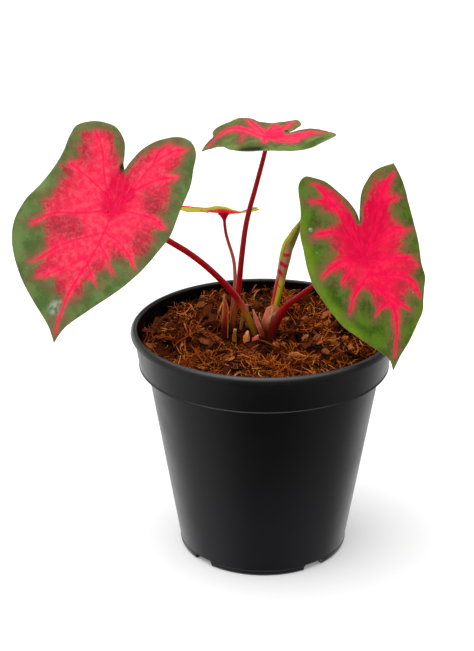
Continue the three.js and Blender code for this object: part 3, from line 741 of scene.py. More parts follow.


# ---------------------------------------------------------------------------------------------
# The leaf blades. Thin waxy hearts, green at the margin and pink in the middle, where the colour
# runs out along the veins in ragged points. Each grew flat round its stalk's end and then bent: its
# ends droop or lift, its halves fold up from the midrib, and its margin waves.

# A blade is laid out flat, in millimetres along its midrib and across it from its stalk's end.
# droop and lobe_droop: how far the tip and the lobes hang, or lift below nought. fold, curl, wave
# and twist: how far the sides fold up, curl down at the margin, wave and twist.
# minus_side and plus_side: the outline on both sides, from the notch to the tip. pink_edge: where
# the pink ends. veins: the ribs. The rest are soft round patches, (along, across, size) and often
# an amount. dull: mottled pink. pale: paler green, or darker below nought, which on the top leaf is
# painted shade where its front edge curls under. core: where the pink deepens to crimson. deep:
# near black, which on the top leaf's front edge is painted shade, or below nought a pale painted
# highlight.
LEAVES = {
    "left": {
        "stalk_end": (-69.5, -38, 186.1),
        "along": (-0.416, -0.31, -0.855), "facing": (-0.151, -0.903, 0.401),
        "length": 68, "half_width": 40, "droop": 5, "lobe_droop": 3, "fold": 5, "curl": 3,
        "wave": 1.6, "waves": 3.2, "phase": 0.8, "shift": 0, "twist": 0,
        "minus_side": [
            (-20, -3), (-22.5, -4.6), (-27, -6.1), (-31.6, -8.4), (-35.3, -13.1), (-36.1, -17.4),
            (-34.5, -24.5), (-29.8, -30.7), (-24.5, -31.9), (-16, -31.9), (-7.9, -33.1), (2.3, -35.7),
            (10.5, -38.5), (22.3, -39.4), (32.5, -36), (42.8, -27.4), (51, -17.1), (58.3, -6.7),
            (64.7, -0.8)],
        "plus_side": [
            (-20, -3), (-24, -2.2), (-28.3, -0.9), (-32.3, 0.8), (-37.9, 5.1), (-43, 12.5), (-43.8, 19.1),
            (-40, 24), (-33, 26.1), (-25.1, 28), (-13, 28.3), (-2, 29.2), (6.6, 27.3), (17, 24), (29.5, 18),
            (43.3, 9.1), (54.5, 2), (61, -0.2), (64.7, -0.8)],
        "pink_edge": [
            (-22.1, -5.7), (-24.9, -9.5), (-28.2, -11), (-31.5, -14.5), (-32.8, -18.1), (-30.6, -22),
            (-27.1, -27.3), (-24, -24.4), (-20.6, -26.4), (-16.7, -24.2), (-13.8, -27.4), (-9.5, -29.6),
            (-6.3, -26.6), (-1.9, -27.6), (0.7, -27.8), (4.5, -28.5), (7.7, -31), (11.4, -28.2),
            (13.8, -28.1), (19.6, -32.1), (16.9, -26.2), (20.9, -23), (25.2, -21.7), (27.7, -19.6),
            (35.3, -25.5), (31.8, -19.9), (35.4, -20.3), (41.5, -20.7), (37.3, -11.4), (41.6, -10),
            (43.6, -7.7), (42.8, -4), (48.6, -3.5), (55.4, -3.1), (61.7, -1.8), (52.2, -2.8), (45.4, -1.9),
            (40.3, -0.5), (41, 2.3), (37.1, 2.2), (33.8, 0.7), (31.2, 4.2), (32.3, 7.3), (28.2, 4.3),
            (24, 7.1), (24.5, 12.5), (20.8, 7.7), (15.3, 13.4), (18.1, 20.4), (13.8, 18.9), (9.5, 22.1),
            (4.3, 22.8), (0.2, 20.8), (-3.6, 26.1), (-6.5, 22.6), (-8, 19.3), (-11.3, 22.3), (-15.7, 21.2),
            (-19.6, 20.9), (-23.6, 19), (-27.1, 21.5), (-28.1, 18), (-34.6, 19.5), (-39.6, 19.6), (-40, 15.9),
            (-38.2, 10.5), (-34.8, 6), (-30.9, 2.7), (-27.3, 0.4), (-22.8, -1), (-18.6, -1.6), (-19.6, -3.6)],
        "veins": [
            [(0, 0), (9.4, 0.5), (20, 0), (29, -1.5), (40, -3.2), (51.3, -3), (64, -1.3)],
            [(9.4, 0.5), (14.5, -6), (21.6, -14.2), (33.3, -22.8), (38.5, -26.5)],
            [(9.4, 0.5), (10.5, 8), (13.1, 13.4), (18.6, 20.5)],
            [(0, 0), (2, -6), (5.5, -12), (9.4, -21.3), (13.5, -27), (20.5, -33)],
            [(0, 0), (-3, 5.5), (-4.3, 10.9), (-5.5, 20), (-3.2, 25.6)],
            [(-1, -0.5), (-5.1, -4.1), (-13.3, -9.9), (-24.7, -16.3), (-30.1, -21.8), (-32, -24.5)],
            [(-6, -5), (-8.7, -12), (-10.9, -19.5), (-12.5, -26.5)],
            [(-1.5, 0.8), (-6.6, 2.6), (-15.5, 5), (-26.7, 7.8), (-36.5, 14.1), (-39.5, 20.2)],
            [(-13, 5), (-21.1, 12), (-25.8, 19.5), (-25.5, 24.5)],
            [(20, 0), (29, -7.5), (40.5, -18.2)],
            [(15, 0.3), (20, 7.5), (26.5, 14)],
            [(25, -1), (30, 3.5), (34.5, 8.2)],
            [(-27, 8), (-33, 8), (-38.5, 10.5)]],
        "dull": [
            (12.8, -17.1, 6), (15, -23.1, 4.2), (13.7, -12, 4.5), (-13.6, 13.1, 5.2), (-9.7, 18, 4),
            (18.6, 10.3, 4.5), (5.7, 17.2, 4.5), (9, 20.7, 3.4), (41.5, -7.6, 3.6), (-8.6, -26.5, 3.4),
            (38.1, 1, 2.6), (26.7, 1.5, 3), (-20, -22, 3)],
        "pale": [
            (1.6, -33.2, 5.3, 0.7), (27.8, -31.8, 7, 0.8), (-32.8, 15.2, 4, 0.3), (-10, 28, 5, 0.4),
            (20, 20, 5, 0.4), (47.9, -12.9, 5.3, -0.7), (0, 24.8, 4.2, -0.5), (-16.1, -31, 4.2, -0.4),
            (-38, 22, 4, -0.4)],
        "core": [
            (-1, -0.5, 4), (-5, -0.8, 6), (-10.5, -1.5, 6), (-16, -3.5, 3.5), (-10, 3, 4)],
        # The two patches below nought near the tip are a pale painted highlight.
        "deep": [
            (-20.8, -4.4, 1.7, 1), (-18, -3.8, 1.5, 0.55), (50.5, -6.9, 3, -1), (46.5, -6.2, 2, -0.6)],
    },
    "right": {
        "stalk_end": (45.2, -30, 161), "along": (0.252, -0.456, -0.853), "facing": (0.311, -0.797, 0.518),
        "length": 54, "half_width": 33, "droop": 5, "lobe_droop": 3, "fold": 5, "curl": 2,
        "wave": 1.5, "waves": 3, "phase": 1, "shift": 0, "twist": 0,
        "minus_side": [
            (-17.4, 2.9), (-22, 2.7), (-27.2, 0.8), (-34.1, -3.8), (-39, -8), (-41.8, -13.1), (-43.1, -18),
            (-39.1, -22.2), (-28.5, -24.8), (-17.7, -28.6), (-8.5, -28.7), (3.6, -29.1), (10.7, -28),
            (20.7, -23.5), (28.9, -18.1), (36.8, -9.9), (43.1, -2.9), (47.5, 1.1), (52.6, 2.1)],
        "plus_side": [
            (-17.4, 2.9), (-23.6, 4.9), (-31, 8), (-35.6, 11.9), (-39.7, 17.4), (-41, 26), (-40, 27.4),
            (-30, 28.6), (-17, 29.1), (-7, 28.5), (6.5, 26.5), (14, 27), (20.5, 25), (29, 21.9), (34.3, 17.9),
            (41.5, 12.1), (47, 6.7), (52.6, 2.1)],
        "pink_edge": [
            (-19.1, 1.9), (-22.4, -0.1), (-26.7, -1.4), (-31.5, -3.3), (-35.2, -5.7), (-37.8, -9.3),
            (-39.5, -14.9), (-36.5, -13.3), (-33.9, -12.3), (-31.5, -12.7), (-30.8, -19.2), (-28.4, -14.2),
            (-25.6, -14.7), (-24.2, -10.7), (-22.2, -8.2), (-18.8, -7.5), (-17.3, -12.9), (-16.9, -18),
            (-15, -23.4), (-13.8, -18.8), (-12.7, -14.3), (-9.5, -14.3), (-6.3, -13.9), (-3.5, -13.9),
            (-0.7, -18.2), (4.6, -23.8), (3.6, -20.5), (2.7, -16.7), (4.2, -13.2), (9.5, -14.4),
            (10.8, -11.6), (13.3, -10.5), (17.7, -12.2), (23.2, -14.1), (18, -10.5), (14, -6.7), (13.8, -3.9),
            (15.7, -1.8), (20, -0.3), (23.3, 0.5), (26.5, -1.1), (24.4, 2), (24.5, 6.1), (28.6, 6.8),
            (33.3, 6.9), (37.1, 6.4), (45.9, 4.1), (37.3, 7.4), (33, 9), (25.8, 11.7), (27.8, 15.3),
            (23.3, 14.8), (20.9, 14.6), (19.3, 18.4), (23, 22.6), (16.2, 22.1), (11.9, 20.1), (8.1, 24.3),
            (3.6, 22.1), (1.1, 17.9), (-4.1, 20.3), (-8.8, 25.4), (-12, 22.1), (-14.9, 19.6), (-19.2, 18.6),
            (-22.8, 20.9), (-24.3, 25.6), (-26.9, 22), (-30.6, 21.7), (-36.8, 25.7), (-34.9, 21), (-35, 16.9),
            (-33.9, 14.5), (-30.2, 12.6), (-26.8, 9.5), (-24.2, 6.8), (-19.7, 5), (-18.3, 3.8)],
        "veins": [
            [(-1, 0.2), (6.5, 0.7), (14.5, 3.4), (19.9, 6.6), (26.3, 8.6), (32.9, 8.2), (39.1, 6.4),
             (45.2, 4.2), (51.5, 2.3)],
            [(7.1, 0.4), (11.8, -5.1), (15.9, -10.1), (19.5, -12.4), (23.8, -14.1), (28.5, -15.9)],
            [(0, -0.3), (-0.8, -5.9), (-1, -10.4), (0.6, -16.8), (3.1, -21.3), (5.9, -24.4)],
            [(-0.5, -6), (5.7, -10.9), (10.5, -18.3)],
            [(-2.5, -0.2), (-7.5, -1.6), (-10.6, -3.6), (-12.9, -6.7), (-15, -11.4), (-15.6, -17.3),
             (-14.9, -23)],
            [(-3.2, -0.3), (-12.2, -0.9), (-18.8, -3.4), (-26.3, -7), (-33.2, -10.8), (-37.4, -13.2),
             (-39.4, -16)],
            [(-26.3, -7), (-29.4, -11.3), (-31, -15.3), (-31.1, -19.5)],
            [(1, 0.3), (1.5, 5.1), (2.6, 11.8), (3.5, 18.5), (4.3, 23.1), (8.6, 25)],
            [(6.9, 1.2), (9.6, 8.6), (11.1, 15.2), (15, 20.7), (19.2, 21.9), (24.2, 22.5)],
            [(-2.1, 1.9), (-6.3, 7.4), (-8.7, 13.7), (-10.8, 20.1), (-9, 25.6)],
            [(-2, 2.2), (-10.3, 7.8), (-18.3, 12.3), (-25.2, 15.6), (-31.2, 19.4), (-37, 25.2)],
            [(-22.1, 13.8), (-24.1, 18.9), (-24.9, 24.1), (-24.2, 27.2)],
            [(16.7, 5), (22.8, 10.9), (27.8, 15.6)],
            [(21.8, 6.2), (24.2, 2), (26.8, -1.9)],
            [(28.7, 7.3), (31.4, 4.5), (34.2, 1.9)]],
        "dull": [
            (-27.1, -13, 2.4), (-14.7, -9.3, 3.2), (-8.7, -12, 3), (5.3, -12.2, 3.4), (9.7, -9.2, 2.4),
            (20.1, 3.2, 2.4), (15.2, 15, 2.4), (22.6, 12.6, 2.4)],
        "pale": [
            (-32.6, -22.6, 5, 0.4), (-20.8, -25.4, 7, 0.6), (-9.7, -26, 7, 0.9), (0, -26, 6, 0.7),
            (9.9, -25, 6, 0.6), (19.1, -21, 7, 0.9), (27.7, -17.5, 6, 0.7), (34.9, -12, 6, 0.6),
            (41.7, -5.8, 4, 0.4), (-27, -19.4, 3.7, -0.5), (15.3, -20, 4.2, -0.5),
            (32.9, -3.1, 5.3, -0.5), (22.2, -10, 4, 0.3)],
        "core": [
            (-3, 0, 7), (-9, 1.5, 9.5), (-16, 2.5, 7), (-18, 9.5, 8), (-25, 13, 6), (-15, -2, 6)],
        "deep": [
            (-19.2, 2.9, 1.6, 0.8)],
    },
    "top": {
        "stalk_end": (0.95, 5, 208.7), "along": (-0.985, -0.06, -0.03), "facing": (-0.018, -0.26, 0.965),
        "length": 32, "half_width": 19, "droop": 5, "lobe_droop": -3, "fold": 2.5, "curl": 1,
        "wave": 1.4, "waves": 2.2, "phase": 0.9, "shift": 0.4, "twist": -3,
        "minus_side": [
            (-9.5, -3.4), (-12.3, -4.9), (-15, -6.7), (-16.9, -9), (-15.2, -13), (-9.8, -13.6), (-3.3, -13),
            (2.2, -12.8), (5.7, -14.6), (9.3, -15.3), (13, -15.4), (18.6, -14.1), (23.3, -11.9), (25.1, -9.2),
            (25.2, -6.4), (28.4, -3), (31, 1)],
        "plus_side": [
            (-9.5, -3.4), (-11.8, -3.6), (-15.4, -4.4), (-20.8, -4.6), (-25.9, -2), (-29.3, 2.4),
            (-31.5, 8.1), (-28.3, 12.2), (-23.1, 15.4), (-16.9, 15.7), (-11.6, 15.1), (-5.4, 14.8),
            (1.6, 13.8), (7.7, 11.9), (13.8, 8.7), (18, 5.7), (22.3, 1.6), (31, 1)],
        "pink_edge": [
            (30.3, 0.8), (28.2, -1.9), (24.2, -5.3), (20.7, -8.4), (17.3, -9.7), (14, -10.1), (10.3, -9),
            (8, -8.1), (9.4, -14), (6.1, -14.2), (2.7, -8.7), (-1, -7.6), (-2.5, -8.5), (-3.8, -13.3),
            (-5.8, -13.4), (-6.8, -8.7), (-9.2, -9.2), (-12.5, -13.9), (-13.9, -13.7), (-13.5, -10),
            (-11.8, -7), (-9.8, -5.6), (-9.1, -3.1), (-11.9, -2.8), (-15.8, -4.2), (-21.4, -3.4),
            (-27.5, 1.3), (-24.6, 2.1), (-21.2, 3.4), (-16.8, 5.1), (-13.7, 7.9), (-10.9, 8.6), (-7.8, 6.9),
            (-3.6, 6.1), (-1, 3.4), (1, 5.9), (2.4, 5.6), (2.5, 1.3), (5.6, -1.3), (7.9, -2.4), (9.7, -3.8),
            (11.4, -0), (12.4, 1.8), (12.5, -4.7), (15.6, -6.5), (19.4, -6.5), (22.9, -4.8), (26.8, -2)],
        "veins": [
            [(0.5, -0.6), (4.5, -3), (9.7, -7.3), (14.3, -9.2), (17.6, -9.1), (22.4, -6.1), (26.8, -2.4),
             (30.5, 1)],
            [(1.2, -3.2), (4.5, -9.4), (7.8, -13.8)],
            [(0.3, -3.2), (-2.9, -8.1), (-4.8, -13)],
            [(-0.6, -3.1), (-7.6, -7.7), (-13.1, -13.1)],
            [(0, -1.1), (-6, 0.5), (-11.6, 0.1), (-19.3, -1.1), (-27.9, 1.9)],
            [(1.5, 0.1), (1.7, 5.2)],
            [(-1.3, 0.4), (-7.4, 5.1), (-12.9, 7.1)],
            [(12.1, -9), (15.2, -13.3), (17, -14.8)],
            [(-11.6, 0.1), (-16.1, 3), (-19.8, 3.3)]],
        "dull": [
            (16.6, -12.8, 3), (0.2, -10.5, 2.4), (-9.1, -12, 2.4), (-20, 3.5, 2.5)],
        "pale": [
            (-15.5, -10.3, 3.4, 1), (-0.3, 13, 5, 0.4), (-9.5, 13.3, 5, 0.5), (-14.3, 11.7, 4, 0.4),
            (-28.5, 4, 4, 1), (18, -13, 5, 0.4),
            # These three darker patches are painted shade, where the front edge curls under.
            (10.6, 8.4, 4, -1), (7.9, 9.6, 4, -1), (5.2, 10.9, 3, -0.8)],
        "core": [
            (-2, -1, 4), (-7, -2, 3)],
        # After the first, the deep patches on the front edge are painted shade where it curls under.
        "deep": [
            (-9.6, -4.6, 1.2, 0.8), (9, 10.8, 4, 0.8), (5, 12, 3, 0.7), (12.6, 9.2, 3, 0.5)],
    },
    "back": {
        "stalk_end": (-19.7, 40, 159.9), "along": (-1, 0, 0.05), "facing": (0, 0.375, 0.927),
        "length": 27, "half_width": 16, "droop": -1.6, "lobe_droop": -4.5, "fold": 1.9, "curl": 0.5,
        "wave": 1.3, "waves": 2.4, "phase": 0.8, "shift": 0.3, "twist": 2.2,
        "minus_side": [
            (-6, 0.3), (-9.5, -2.8), (-14.5, -5.2), (-17, -9), (-16, -12), (-10, -14), (-1, -14.5),
            (8, -12.5), (16, -9), (22.5, -4.5), (27, 0)],
        "plus_side": [
            (-6, 0.3), (-9.5, 2.8), (-14.5, 5.2), (-17, 9), (-16, 12), (-10, 14.5), (-1, 15), (8, 13),
            (16, 9), (22.5, 4.5), (27, 0)],
        "pink_edge": [
            (-12, -8), (-6, -4.5), (0, -8), (8, -5), (16, -2.5), (25, 0), (16, 2.5), (8, 5), (0, 8),
            (-6, 4.5), (-12, 8), (-8, 2), (-7, 0), (-8, -2)],
        "veins": [
            [(0, 0), (8, 0), (16, 0), (24, 0)],
            [(0, 0), (3, -6), (7, -10)],
            [(0, 0), (3, 6), (7, 10)],
            [(0, 0), (-6, -5), (-11, -9.5)],
            [(0, 0), (-6, 5), (-11, 9.5)],
            [(8, 0), (12, -4.5)],
            [(8, 0), (12, 4.5)]],
        "dull": [
            (12, 0, 4)],
        "pale": [
            (15, 8, 8, 0.6), (-12, 10, 5, 0.8), (-12, -10, 5, 0.8), (10, -10, 5, 0.6)],
        "core": [
            (0, 1, 7), (-6, 2, 5)],
        "deep": [],
    },
}
blade_thickness = 0.4
spokes_per_side = 150
rings = 60
groove = 0.12
groove_width = 0.8
puffed = 0.2
rim_turned = 0.25
ripple_height = 0.25


def bent_height(leaf, along, across):
    """How far the bent blade stands out of its flat plane."""
    s = along / leaf["length"]
    q = across / leaf["half_width"]
    end_droop = np.where(s > 0, leaf["droop"], leaf["lobe_droop"])
    fold = leaf["fold"] * (np.sqrt(q * q + 0.04) - 0.2)
    edge = np.sin(leaf["waves"] * math.pi * s + leaf["phase"] * np.sign(q) + leaf["shift"])
    return (-end_droop * s * s + fold - leaf["curl"] * q ** 4 + leaf["wave"] * q * q * edge
            + leaf["twist"] * s * q)


def blade_frame(leaf):
    """The blade's own directions: along the midrib, across it, and out of the upper face."""
    along = Vector(leaf["along"]).normalized()
    facing = Vector(leaf["facing"])
    facing = (facing - along * facing.dot(along)).normalized()
    return along, facing.cross(along), facing


def flat_curve(points, count):
    """A smooth line in the flat of the blade, through the points, in equal steps between them."""
    points = np.array(points, float)
    padded = np.vstack([2 * points[0] - points[1], points, 2 * points[-1] - points[-2]])
    made = []
    for t in np.linspace(0, len(points) - 1, count + 1):
        k = min(int(t), len(points) - 2)
        t -= k
        a, b, c, d = padded[k:k + 4]
        made.append(0.5 * (2 * b + (c - a) * t + (2 * a - 5 * b + 4 * c - d) * t ** 2
                           + (3 * b - a - 3 * c + d) * t ** 3))
    return np.array(made)


def to_segments(places, starts, ends):
    """How far each place is from the nearest of the segments."""
    nearest = np.full(len(places), 1e9)
    for start, end in zip(starts, ends):
        step = end - start
        t = np.clip((places - start) @ step / max(step @ step, 1e-9), 0, 1)
        nearest = np.minimum(nearest, np.linalg.norm(places - start - t[:, None] * step, axis=1))
    return nearest


def inside_line(places, corners):
    """Which places lie inside a closed line."""
    inside = np.zeros(len(places), bool)
    for (x0, y0), (x1, y1) in zip(corners, np.roll(corners, -1, axis=0)):
        spans = (y0 > places[:, 1]) != (y1 > places[:, 1])
        if y1 != y0:
            crossing = x0 + (x1 - x0) * (places[:, 1] - y0) / (y1 - y0)
            inside ^= spans & (places[:, 0] < crossing)
    return inside


def patches(places, spots):
    """Soft round patches added up: each is (along, across, size) or has its amount as well."""
    total = np.zeros(len(places))
    for along, across, size, *amount in spots:
        total += (amount or [1])[0] * np.exp(-((places - (along, across)) ** 2).sum(1) / size ** 2)
    return total


def to_ring(places, corners):
    """How far each place is from the nearest side of a closed line."""
    return to_segments(places, corners, np.roll(corners, -1, axis=0))


def pink_depth(places, pink_edge, margin):
    """How deep in the pink each place is, below nought outside it. The pink stops short of the
    blade's rim."""
    away = to_ring(places, pink_edge)
    depth = np.where(inside_line(places, pink_edge), away, -away)
    return np.minimum(depth, 2.5 * margin - 4)


def blade_mesh(leaf, seed):
    """The blade as one sheet: a disc spun from a radius, stretched to the outline, then bent. Its
    points carry what the finish needs: their flat place, how deep in the pink they are, how near
    a vein, how far from the margin, and the patches of other tones."""
    minus = flat_curve(leaf["minus_side"], spokes_per_side)
    plus = flat_curve(leaf["plus_side"], spokes_per_side)
    outline = np.vstack([minus, plus[1:-1][::-1]])
    count = len(outline)
    bm = bmesh.new()
    radius_points = [bm.verts.new((k / rings, 0, 0)) for k in range(rings + 1)]
    radius_edges = [bm.edges.new(pair) for pair in zip(radius_points, radius_points[1:])]
    bmesh.ops.spin(bm, geom=radius_points + radius_edges, cent=(0, 0, 0), axis=(0, 0, 1),
                   angle=2 * math.pi, steps=count, use_merge=True, use_duplicate=False)
    bmesh.ops.remove_doubles(bm, verts=bm.verts[:], dist=1e-5)
    bm.verts.ensure_lookup_table()
    flat = np.array([v.co[:2] for v in bm.verts])
    radii = np.linalg.norm(flat, axis=1)
    turns = np.round(np.arctan2(flat[:, 1], flat[:, 0]) / (2 * math.pi) * count).astype(int) % count
    places = outline[turns] * radii[:, None]

    lines = [flat_curve(vein, 5 * len(vein)) for vein in leaf["veins"]]
    starts = np.vstack([line[:-1] for line in lines])
    ends = np.vstack([line[1:] for line in lines])
    near = to_segments(places, starts, ends)
    margin = to_ring(places, outline)
    blush = pink_depth(places, np.array(leaf["pink_edge"], float), margin)

    # Over the ribs the blade is grooved, between them it puffs up, and its rim turns down.
    height = bent_height(leaf, places[:, 0], places[:, 1])
    height = height - groove * np.exp(-(near / groove_width) ** 2) + puffed * np.clip(near / 5, 0, 1)
    height = height - rim_turned * np.clip(1 - margin / 4, 0, 1)
    ripple = [noise.noise(Vector((along, across, seed)) * 0.3) for along, across in places]
    height = height + ripple_height * np.array(ripple)
    along, across, facing = blade_frame(leaf)
    origin = Vector(leaf["stalk_end"])
    carried = {"blush": blush, "vein": near, "margin": margin}
    for tone in ("pale", "dull", "core", "deep"):
        carried[tone] = patches(places, leaf[tone])
    layers = {name: bm.verts.layers.float.new(name) for name in carried}
    place_of = bm.verts.layers.float_vector.new("place")
    for k, v in enumerate(bm.verts):
        a, c = float(places[k, 0]), float(places[k, 1])
        v.co = (origin + along * a + across * c + facing * float(height[k])) * mm
        v[place_of] = Vector((a, c, seed))
        for name, values in carried.items():
            v[layers[name]] = float(values[k])
    outward(bm)
    if sum(f.normal.dot(facing) * f.calc_area() for f in bm.faces) < 0:
        bmesh.ops.reverse_faces(bm, faces=bm.faces[:])
    return bm


PATTERN_VALUES = ("Blush", "Vein", "Margin", "Pale", "Dull", "Core", "Deep")
PATTERN_COLOURS = ("Green", "Dark Green", "Pale Green", "Pink", "Light Pink", "Crimson")


def shaken(tree, value, noise_value, amount):
    """A value that a noise moves up and down."""
    return sums(tree, "MULTIPLY_ADD", sums(tree, "SUBTRACT", noise_value, 0.5), amount, value)


def leaf_pattern_group():
    """The colouring of every blade, as a node group."""
    group = bpy.data.node_groups.new("leaf_pattern", "ShaderNodeTree")
    for way, kind, names in (
            ("INPUT", "Vector", ("Place",)), ("INPUT", "Float", PATTERN_VALUES),
            ("INPUT", "Color", PATTERN_COLOURS), ("OUTPUT", "Color", ("Color",)),
            ("OUTPUT", "Float", ("Height", "Pinkness"))):
        for name in names:
            group.interface.new_socket(name, in_out=way, socket_type="NodeSocket" + kind)
    given = group.nodes.new("NodeGroupInput").outputs
    place = given["Place"]
    broad = speckle_noise(group, place, 0.13, 3, 0.6)
    cloudy = speckle_noise(group, place, 0.32, 4, 0.6)
    ragged = speckle_noise(group, place, 0.8, 4, 0.65)
    speck = speckle_noise(group, place, 2.4, 3, 0.7)
    # Streaks that run out from where the stalk joins, as the finest veins do.
    apart = node(group, "ShaderNodeSeparateXYZ", {"Vector": place}).outputs
    angle = sums(group, "ARCTAN2", apart["Y"], apart["X"])
    distance = node(group, "ShaderNodeVectorMath", {0: place}, operation="LENGTH").outputs["Value"]
    fan = node(group, "ShaderNodeCombineXYZ", {"X": times(group, angle, 9.0),
               "Y": times(group, distance, 0.12), "Z": apart["Z"]}).outputs[0]
    streaks = speckle_noise(group, fan, 1.5, 4, 0.65)
    net = node(group, "ShaderNodeTexVoronoi", {"Vector": place, "Scale": 0.7},
               feature="DISTANCE_TO_EDGE").outputs["Distance"]

    # The pink's edge is ragged, but calmer beside a vein, where it runs out to a thin point.
    torn = shaken(group, shaken(group, shaken(group, 0.0, streaks, 10.0), ragged, 5.0), speck, 6.0)
    calm = ramp(group, given["Vein"], 0.2, 2.6, 0.3, 1.0)
    edge = sums(group, "MULTIPLY_ADD", torn, calm, given["Blush"])
    drawn_out = times(group, ramp(group, given["Vein"], 0.75, 0.1),
                      ramp(group, given["Blush"], -3.0, 1.5))
    edge = sums(group, "MULTIPLY_ADD", drawn_out, 2.2, edge)
    pinkness = ramp(group, edge, -2.0, 2.2)

    # The green is yellow-green near some margins, and brown where the pink thins out into it.
    light = times(group, ramp(group, given["Pale"], 0.0, 1.0), ramp(group, given["Margin"], 7.0, 0.5),
                  ramp(group, broad, 0.36, 0.58, 0.35, 1.0))
    brown = times(group, ramp(group, edge, -6.5, -0.5), ramp(group, ragged, 0.35, 0.62, 0.3, 0.8))
    green = layered(group, given["Green"],
                    (ramp(group, broad, 0.38, 0.62), given["Dark Green"]),
                    (light, given["Pale Green"]),
                    # Where the pale patches fall below nought the green darkens; on the top leaf's front edge
                    # this is painted shade.
                    (ramp(group, given["Pale"], -0.1, -0.8, 0, 0.85), given["Dark Green"]),
                    (ramp(group, speck, 0.5, 0.8, 0, 0.3), given["Pale Green"]),
                    (ramp(group, net, 0.1, 0.0, 0, 0.16), given["Pale Green"]),
                    (brown, paint(120, 90, 68)))

    # The pink: deep red and dull between the veins towards its edge, crimson round the stalk.
    blotched = sums(group, "ADD", ragged, streaks)
    faded = times(group, ramp(group, given["Vein"], 0.6, 3.2), ramp(group, edge, 13.0, 0.5),
                  ramp(group, blotched, 0.8, 1.2, 0.1, 0.9))
    mottle = times(group, ramp(group, given["Dull"], 0.1, 0.9), ramp(group, blotched, 0.75, 1.2, 0.25, 0.8),
                   ramp(group, given["Vein"], 0.3, 1.6, 0.15, 0.85))
    rays = times(group, ramp(group, given["Core"], 0.1, 1.0), ramp(group, streaks, 0.38, 0.6, 0.5, 1.0))
    pink = layered(group, given["Pink"],
                   (ramp(group, cloudy, 0.38, 0.66, 0, 0.8), given["Light Pink"]),
                   (ramp(group, ragged, 0.5, 0.72, 0, 0.5), given["Crimson"]),
                   (faded, paint(172, 44, 52)),
                   (mottle, paint(126, 52, 50)),
                   (rays, given["Crimson"]),
                   (ramp(group, given["Vein"], 0.75, 0.2, 0, 0.7), paint(236, 4, 70)))

    # Over both come the near-black spots, which on the top leaf's front edge are painted shade, a pale
    # painted highlight, and the thin brown line of the rim.
    painted_gloss = times(group, ramp(group, given["Deep"], -0.1, -1.0, 0, 0.6), ramp(group, streaks, 0.35, 0.62))
    colour = layered(group, green,
                     (pinkness, pink),
                     (ramp(group, given["Deep"], 0.2, 0.9, 0, 0.95), paint(20, 30, 10)),
                     (painted_gloss, paint(196, 204, 190)),
                     (ramp(group, given["Margin"], 0.35, 0.08, 0, 0.7), paint(142, 84, 66)))
    out = group.nodes.new("NodeGroupOutput")
    plug(group, colour, out.inputs["Color"])
    plug(group, sums(group, "MULTIPLY_ADD", speck, 0.6, ramp(group, net, 0.0, 0.15)), out.inputs["Height"])
    plug(group, pinkness, out.inputs["Pinkness"])
    return group


leaf_pattern = leaf_pattern_group()
LEAF_COLOURS = {
    "left": (paint(99, 122, 67), paint(72, 97, 46), paint(125, 150, 88), paint(244, 40, 80),
             paint(250, 84, 100), paint(218, 2, 62)),
    "right": (paint(80, 110, 26), paint(50, 78, 12), paint(110, 140, 28), paint(238, 12, 68),
              paint(248, 44, 80), paint(212, 0, 58)),
    "top": (paint(112, 132, 70), paint(66, 88, 34), paint(104, 146, 42), paint(250, 52, 90),
            paint(252, 76, 100), paint(244, 22, 78)),
    "back": (paint(130, 140, 84), paint(96, 112, 50), paint(150, 166, 30), paint(238, 50, 82),
             paint(250, 84, 100), paint(212, 10, 56)),
}
UNDER_COLOURS = {
    "left": (paint(134, 150, 108), paint(206, 112, 116)),
    "right": (paint(126, 144, 88), paint(206, 104, 112)),
    "top": (paint(134, 150, 108), paint(206, 112, 116)),
    "back": (paint(200, 204, 48), paint(238, 22, 62)),
}
# How much of a lower face has its own colour, and how strongly it glows: a painted light in place
# of the light that comes through it.
old_leaf = (0.7, 0.12)
young_leaf = (0.9, 0.35)


def leaf_skin(colours, under=None, young=False):
    """The finish of a blade's upper face, or of the paler lower one, which glows faintly in its own
    colour, painted light that stands in for the light coming through.
    A young blade is yellow-green below, and red round its stalk and along its outer rim."""
    def build(tree, place, surface):
        made = tree.nodes.new("ShaderNodeGroup")
        made.node_tree = leaf_pattern
        flat = node(tree, "ShaderNodeAttribute", attribute_name="place").outputs["Vector"]
        plug(tree, flat, made.inputs["Place"])
        for name in PATTERN_VALUES:
            plug(tree, on_mesh(tree, name.lower()), made.inputs[name])
        for name, colour in zip(PATTERN_COLOURS, colours):
            made.inputs[name].default_value = colour
        colour = made.outputs["Color"]
        if under:
            reds = made.outputs["Pinkness"]
            if young:
                outer = node(tree, "ShaderNodeSeparateXYZ", {"Vector": flat}).outputs["X"]
                rim = times(tree, ramp(tree, on_mesh(tree, "margin"), 1.8, 0.8), ramp(tree, outer, 6, 9))
                reds = sums(tree, "MAXIMUM", ramp(tree, on_mesh(tree, "core"), 0.05, 0.35), rim)
            own, glow = young_leaf if young else old_leaf
            colour = blended(tree, own, colour, blended(tree, reds, *under))
            # The lower face glows with its own colour: painted light in place of the light that passes
            # through the blade.
            plug(tree, colour, surface.inputs["Emission Color"])
            surface.inputs["Emission Strength"].default_value = glow
        low, high = (0.55, 0.65) if under else (0.4, 0.5)
        sheen = ramp(tree, speckle_noise(tree, place, 130, 2), 0.3, 0.7, low, high)
        finished(tree, surface, colour, sheen, 0.05, dented(tree, made.outputs["Height"], 0.07 * mm, 0.6))
    return build


